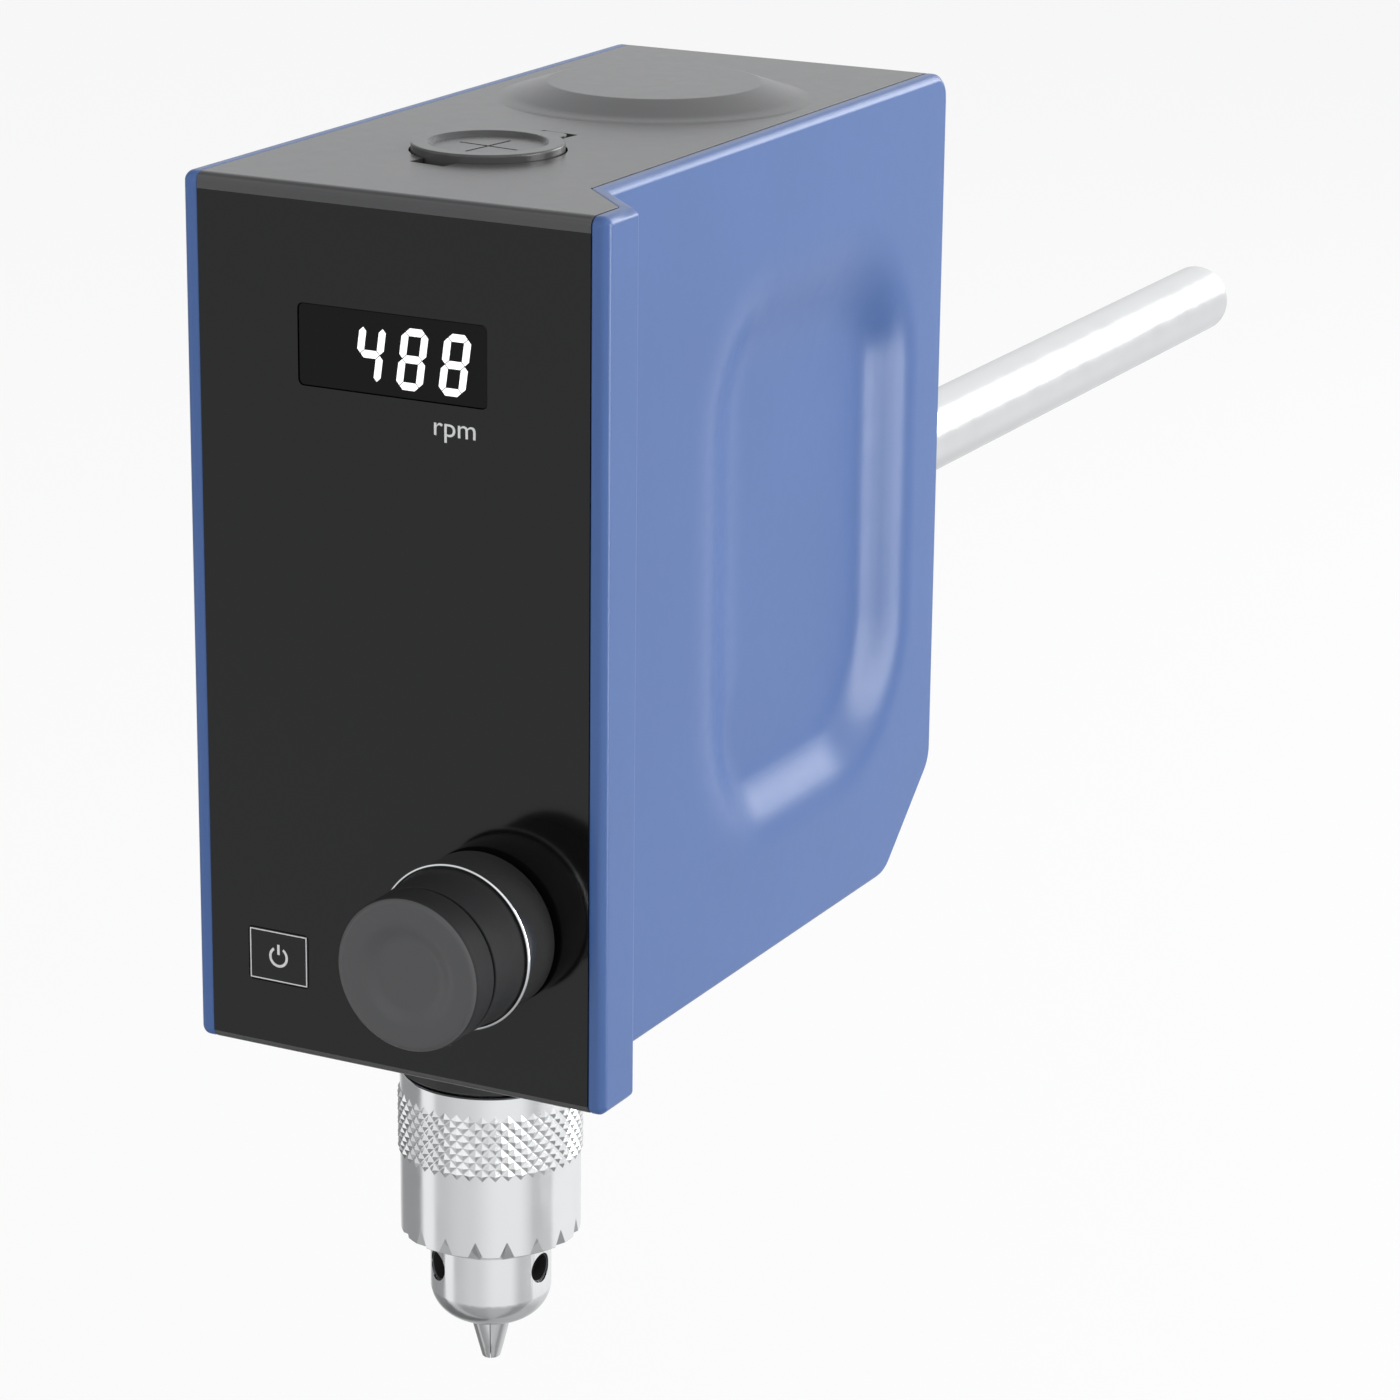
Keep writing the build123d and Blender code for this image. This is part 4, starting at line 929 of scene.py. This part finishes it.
def node_group(name, inputs):
    """A geometry node tree with named inputs and one geometry output."""
    tree = bpy.data.node_groups.new(name, "GeometryNodeTree")
    for label, kind in inputs:
        tree.interface.new_socket(label, in_out="INPUT", socket_type=kind)
    tree.interface.new_socket("Geometry", in_out="OUTPUT", socket_type="NodeSocketGeometry")
    return tree


class Fields:
    """Short way to add and join geometry nodes."""

    def __init__(self, tree):
        self.tree = tree
        self.start = tree.nodes.new("NodeGroupInput")
        self.end = tree.nodes.new("NodeGroupOutput")

    def node(self, kind, inputs, **settings):
        return add_node(self.tree, kind, inputs, settings)

    def math(self, operation, *values):
        return calculate(self.tree, operation, *values)


def grown(name, tree, values):
    """The geometry of a node tree with its inputs set, as one object."""
    piece = new_object(name, bpy.data.meshes.new(name))
    modifier = piece.modifiers.new("grow", "NODES")
    modifier.node_group = tree
    for item in tree.interface.items_tree:
        if item.in_out == "INPUT":
            modifier[item.identifier] = values[item.name]
    return settle(piece)


def make_knurl():
    """Rows of four-sided points round the sleeve, every other row turned by half a step."""
    z = sizes()
    tree = node_group("knurl", [("Radius", "NodeSocketFloat"), ("Low", "NodeSocketFloat"),
                                ("Pitch", "NodeSocketFloat"), ("Height", "NodeSocketFloat"),
                                ("Rows", "NodeSocketInt"), ("Count", "NodeSocketInt"),
                                ("Finish", "NodeSocketMaterial")])
    f = Fields(tree)
    inputs = f.start.outputs
    total = f.math("MULTIPLY", inputs["Rows"], inputs["Count"])
    index = f.node("GeometryNodeInputIndex", {}).outputs[0]
    row = f.math("FLOOR", f.math("DIVIDE", index, inputs["Count"]))
    step = f.math("DIVIDE", 2 * math.pi, inputs["Count"])
    turned = f.math("MULTIPLY", f.math("MODULO", row, 2.0), 0.5)
    angle = f.math("MULTIPLY", f.math("ADD", index, turned), step)
    place = f.node("ShaderNodeCombineXYZ", {
        0: f.math("MULTIPLY", inputs["Radius"], f.math("COSINE", angle)),
        1: f.math("MULTIPLY", inputs["Radius"], f.math("SINE", angle)),
        2: f.math("ADD", inputs["Low"], f.math("MULTIPLY", row, inputs["Pitch"]))}).outputs[0]
    points = f.node("GeometryNodePoints", {"Count": total, "Position": place})
    half = f.math("MULTIPLY", f.math("MULTIPLY", inputs["Radius"], step), 0.5)
    point = f.node("GeometryNodeMeshCone", {"Vertices": 4, "Radius Top": f.math("MULTIPLY", half, KNURL_TIP),
                                            "Radius Bottom": half, "Depth": inputs["Height"]},
                   fill_type="NGON")
    tall = f.math("DIVIDE", inputs["Pitch"], half)
    size = f.node("ShaderNodeCombineXYZ", {0: tall, 1: 1.0, 2: 1.0}).outputs[0]
    turn = f.node("ShaderNodeCombineXYZ", {0: 0.0, 1: math.pi / 2, 2: angle}).outputs[0]
    rotation = f.node("FunctionNodeEulerToRotation", {"Euler": turn}).outputs[0]
    field = f.node("GeometryNodeInstanceOnPoints", {"Points": points.outputs[0],
                                                    "Instance": point.outputs["Mesh"],
                                                    "Rotation": rotation, "Scale": size})
    real = f.node("GeometryNodeRealizeInstances", {"Geometry": field.outputs[0]})
    done = f.node("GeometryNodeSetMaterial", {"Geometry": real.outputs[0], "Material": inputs["Finish"]})
    tree.links.new(done.outputs[0], f.end.inputs[0])
    return grown("sleeve_knurl", tree, {"Radius": (radius_of("chuck_sleeve") - KNURL_SINK) * MM,
                                        "Low": z.knurl_low, "Pitch": z.knurl_pitch, "Height": z.knurl_height,
                                        "Rows": z.knurl_rows, "Count": z.knurl_count,
                                        "Finish": FINISH["chuck_steel"]})


def make_key_hole_shade():
    """Dark cups in the three key holes: painted shade, as the real holes are steel inside and dark only from
    shade.
    """
    shade_cups = []
    for turn in KEY_HOLE_TURNS:
        place = (Matrix.Rotation(math.radians(turn), 4, "Z") @ Matrix.Translation((0, -SHADE_CUP_FRONT, KEY_HOLE_Z))
                 @ Matrix.Rotation(math.radians(90), 4, "X"))
        shade_cups.append(lathe("shade_cup", SHADE_CUP_PROFILE, FINISH["nose_dark"], 40, place))
    return joined("key_hole_painted_shade", shade_cups)


class STIRRER_OT_arm(bpy.types.Operator):
    """Round arm with its chamfered end, the shaft cap and the inlet at the back"""
    bl_idname = "stirrer.arm"
    bl_label = "Arm, cap and inlet"

    def execute(self, context):
        stand_for(dressed("extension_arm", ARM_EDGE * MM), "extension_arm")
        stand_for(dressed("shaft_cap", ARM_EDGE * MM), "shaft_cap")
        stand_for(dressed("power_socket", SOCKET_EDGE * MM), "power_socket")
        return {"FINISHED"}


class STIRRER_OT_stage(bpy.types.Operator):
    """Floor, lights, world and camera"""
    bl_idname = "stirrer.stage"
    bl_label = "Stage"

    def execute(self, context):
        stage = getattr(context.scene, STAGE)
        make_floor(stage)
        make_world()
        make_lamps()
        make_camera(stage)
        context.scene.view_settings.view_transform = "Standard"
        return {"FINISHED"}


def make_floor(stage):
    """A wide pale floor that shows near white to the camera and keeps the shadow."""
    mesh = bpy.data.meshes.new("floor")
    ring = ((-1, -1), (1, -1), (1, 1), (-1, 1))
    mesh.from_pydata([(x * FLOOR_REACH, y * FLOOR_REACH, stage.floor) for x, y in ring], [], [(0, 1, 2, 3)])
    floor = new_object("floor", mesh)
    material = bpy.data.materials.new("floor_paint")
    material.use_nodes = True
    tree = material.node_tree
    shader = tree.nodes["Principled BSDF"]
    shader.inputs["Base Color"].default_value = (0.86, 0.86, 0.86, 1)
    shader.inputs["Roughness"].default_value = 0.9
    shader.inputs["Specular IOR Level"].default_value = 0.1
    glow = add_node(tree, "ShaderNodeEmission", {"Strength": 1.0}, {})
    path = tree.nodes.new("ShaderNodeLightPath")
    share = calculate(tree, "MULTIPLY", path.outputs["Is Camera Ray"], FLOOR_GLOW)
    mix = add_node(tree, "ShaderNodeMixShader", {0: share, 1: shader.outputs[0], 2: glow.outputs[0]}, {})
    tree.links.new(mix.outputs[0], tree.nodes["Material Output"].inputs["Surface"])
    mesh.materials.append(material)
    floor.visible_glossy = False


def ramp(tree, value, stops, low, high):
    """A smooth line of half the brightness over an angle in degrees."""
    span = add_node(tree, "ShaderNodeMapRange", {"Value": value, "From Min": math.radians(low),
                                                 "From Max": math.radians(high)}, {})
    node = add_node(tree, "ShaderNodeValToRGB", {0: span.outputs[0]}, {})
    node.color_ramp.interpolation = "EASE"
    points = node.color_ramp.elements
    while len(points) < len(stops):
        points.new(0.5)
    for point, (angle, light) in zip(points, stops):
        point.position = (angle - low) / (high - low)
        point.color = (light / 2, light / 2, light / 2, 1)
    return node.outputs[0]


def make_world():
    """White to the camera; as light and in gloss a studio with bright and dark upright bands."""
    world = bpy.data.worlds.new("studio")
    bpy.context.scene.world = world
    world.use_nodes = True
    tree = world.node_tree
    way = tree.nodes.new("ShaderNodeSeparateXYZ")
    tree.links.new(tree.nodes.new("ShaderNodeTexCoord").outputs["Generated"], way.inputs[0])
    forward = calculate(tree, "MULTIPLY", way.outputs["Y"], -1.0)
    azimuth = calculate(tree, "ARCTAN2", way.outputs["X"], forward)
    rise = calculate(tree, "ARCSINE", way.outputs["Z"])
    light = calculate(tree, "MULTIPLY", ramp(tree, azimuth, BANDS, -180, 180),
                      ramp(tree, rise, HEIGHTS, -90, 90))
    path = tree.nodes.new("ShaderNodeLightPath")
    # Each of the two ramps gives half its brightness, so the product is taken four times.
    level = calculate(tree, "MULTIPLY_ADD", path.outputs["Is Diffuse Ray"], 4.0 * (WORLD_FILL - WORLD_GLOSS),
                      4.0 * WORLD_GLOSS)
    soft = tree.nodes["Background"]
    soft.inputs["Color"].default_value = (0.98, 0.99, 1.0, 1)
    tree.links.new(calculate(tree, "MULTIPLY", light, level), soft.inputs["Strength"])
    white = add_node(tree, "ShaderNodeBackground", {"Color": (1, 1, 1, 1)}, {})
    mix = add_node(tree, "ShaderNodeMixShader", {0: path.outputs["Is Camera Ray"], 1: soft.outputs[0],
                                                 2: white.outputs[0]}, {})
    tree.links.new(mix.outputs[0], tree.nodes["World Output"].inputs["Surface"])


def make_lamps():
    """Soft boxes, each turned to its target."""
    for name, place, target, width, height, power, gloss in LAMPS:
        data = bpy.data.lights.new(name, "AREA")
        data.shape = "RECTANGLE"
        data.size = width
        data.size_y = height
        data.energy = power
        lamp = new_object(name, data)
        lamp.visible_glossy = gloss
        lamp.location = place
        lamp.rotation_euler = (Vector(target) - Vector(place)).to_track_quat("-Z", "Y").to_euler()


def make_camera(stage):
    """The camera from its place, its turn and height as angles, and its roll."""
    data = bpy.data.cameras.new("camera")
    data.lens = stage.focal
    data.sensor_width = 36.0
    data.clip_start = 0.01
    data.clip_end = 60.0
    camera = new_object("camera", data)
    a, e, r = stage.azimuth, stage.elevation, stage.roll
    back = Vector((math.sin(a) * math.cos(e), -math.cos(a) * math.cos(e), math.sin(e)))
    level = Vector((math.cos(a), math.sin(a), 0))
    rise = back.cross(level)
    right = math.cos(r) * level + math.sin(r) * rise
    up = -math.sin(r) * level + math.cos(r) * rise
    turn = Matrix((right, up, back)).transposed().to_4x4()
    camera.matrix_world = Matrix.Translation(stage.camera) @ turn
    bpy.context.scene.camera = camera


class STIRRER_PT_panel(bpy.types.Panel):
    """Sizes, colours and the steps that make the stirrer"""
    bl_idname = "STIRRER_PT_panel"
    bl_label = "Overhead stirrer"
    bl_space_type = "VIEW_3D"
    bl_region_type = "UI"
    bl_category = "Stirrer"

    def draw(self, context):
        for group in (SIZES, COLOURS, STAGE):
            settings = getattr(context.scene, group)
            for name in settings.__annotations__:
                self.layout.prop(settings, name)
        for step in STEPS:
            self.layout.operator(step.bl_idname)


STEPS = (STIRRER_OT_finishes, STIRRER_OT_casing, STIRRER_OT_front, STIRRER_OT_knob, STIRRER_OT_chuck,
         STIRRER_OT_arm, STIRRER_OT_stage)
GROUPS = ((SIZES, StirrerSizes), (COLOURS, StirrerColours), (STAGE, StirrerStage))


def register():
    for name, group in GROUPS:
        bpy.utils.register_class(group)
        setattr(bpy.types.Scene, name, bpy.props.PointerProperty(type=group))
    for cls in STEPS + (STIRRER_PT_panel,):
        bpy.utils.register_class(cls)


def unregister():
    for cls in (STIRRER_PT_panel,) + STEPS[::-1]:
        bpy.utils.unregister_class(cls)
    for name, group in GROUPS:
        delattr(bpy.types.Scene, name)
        bpy.utils.unregister_class(group)


def main():
    register()
    for step in STEPS:
        area, name = step.bl_idname.split(".")
        getattr(getattr(bpy.ops, area), name)()


if __name__ == "__main__":
    main()
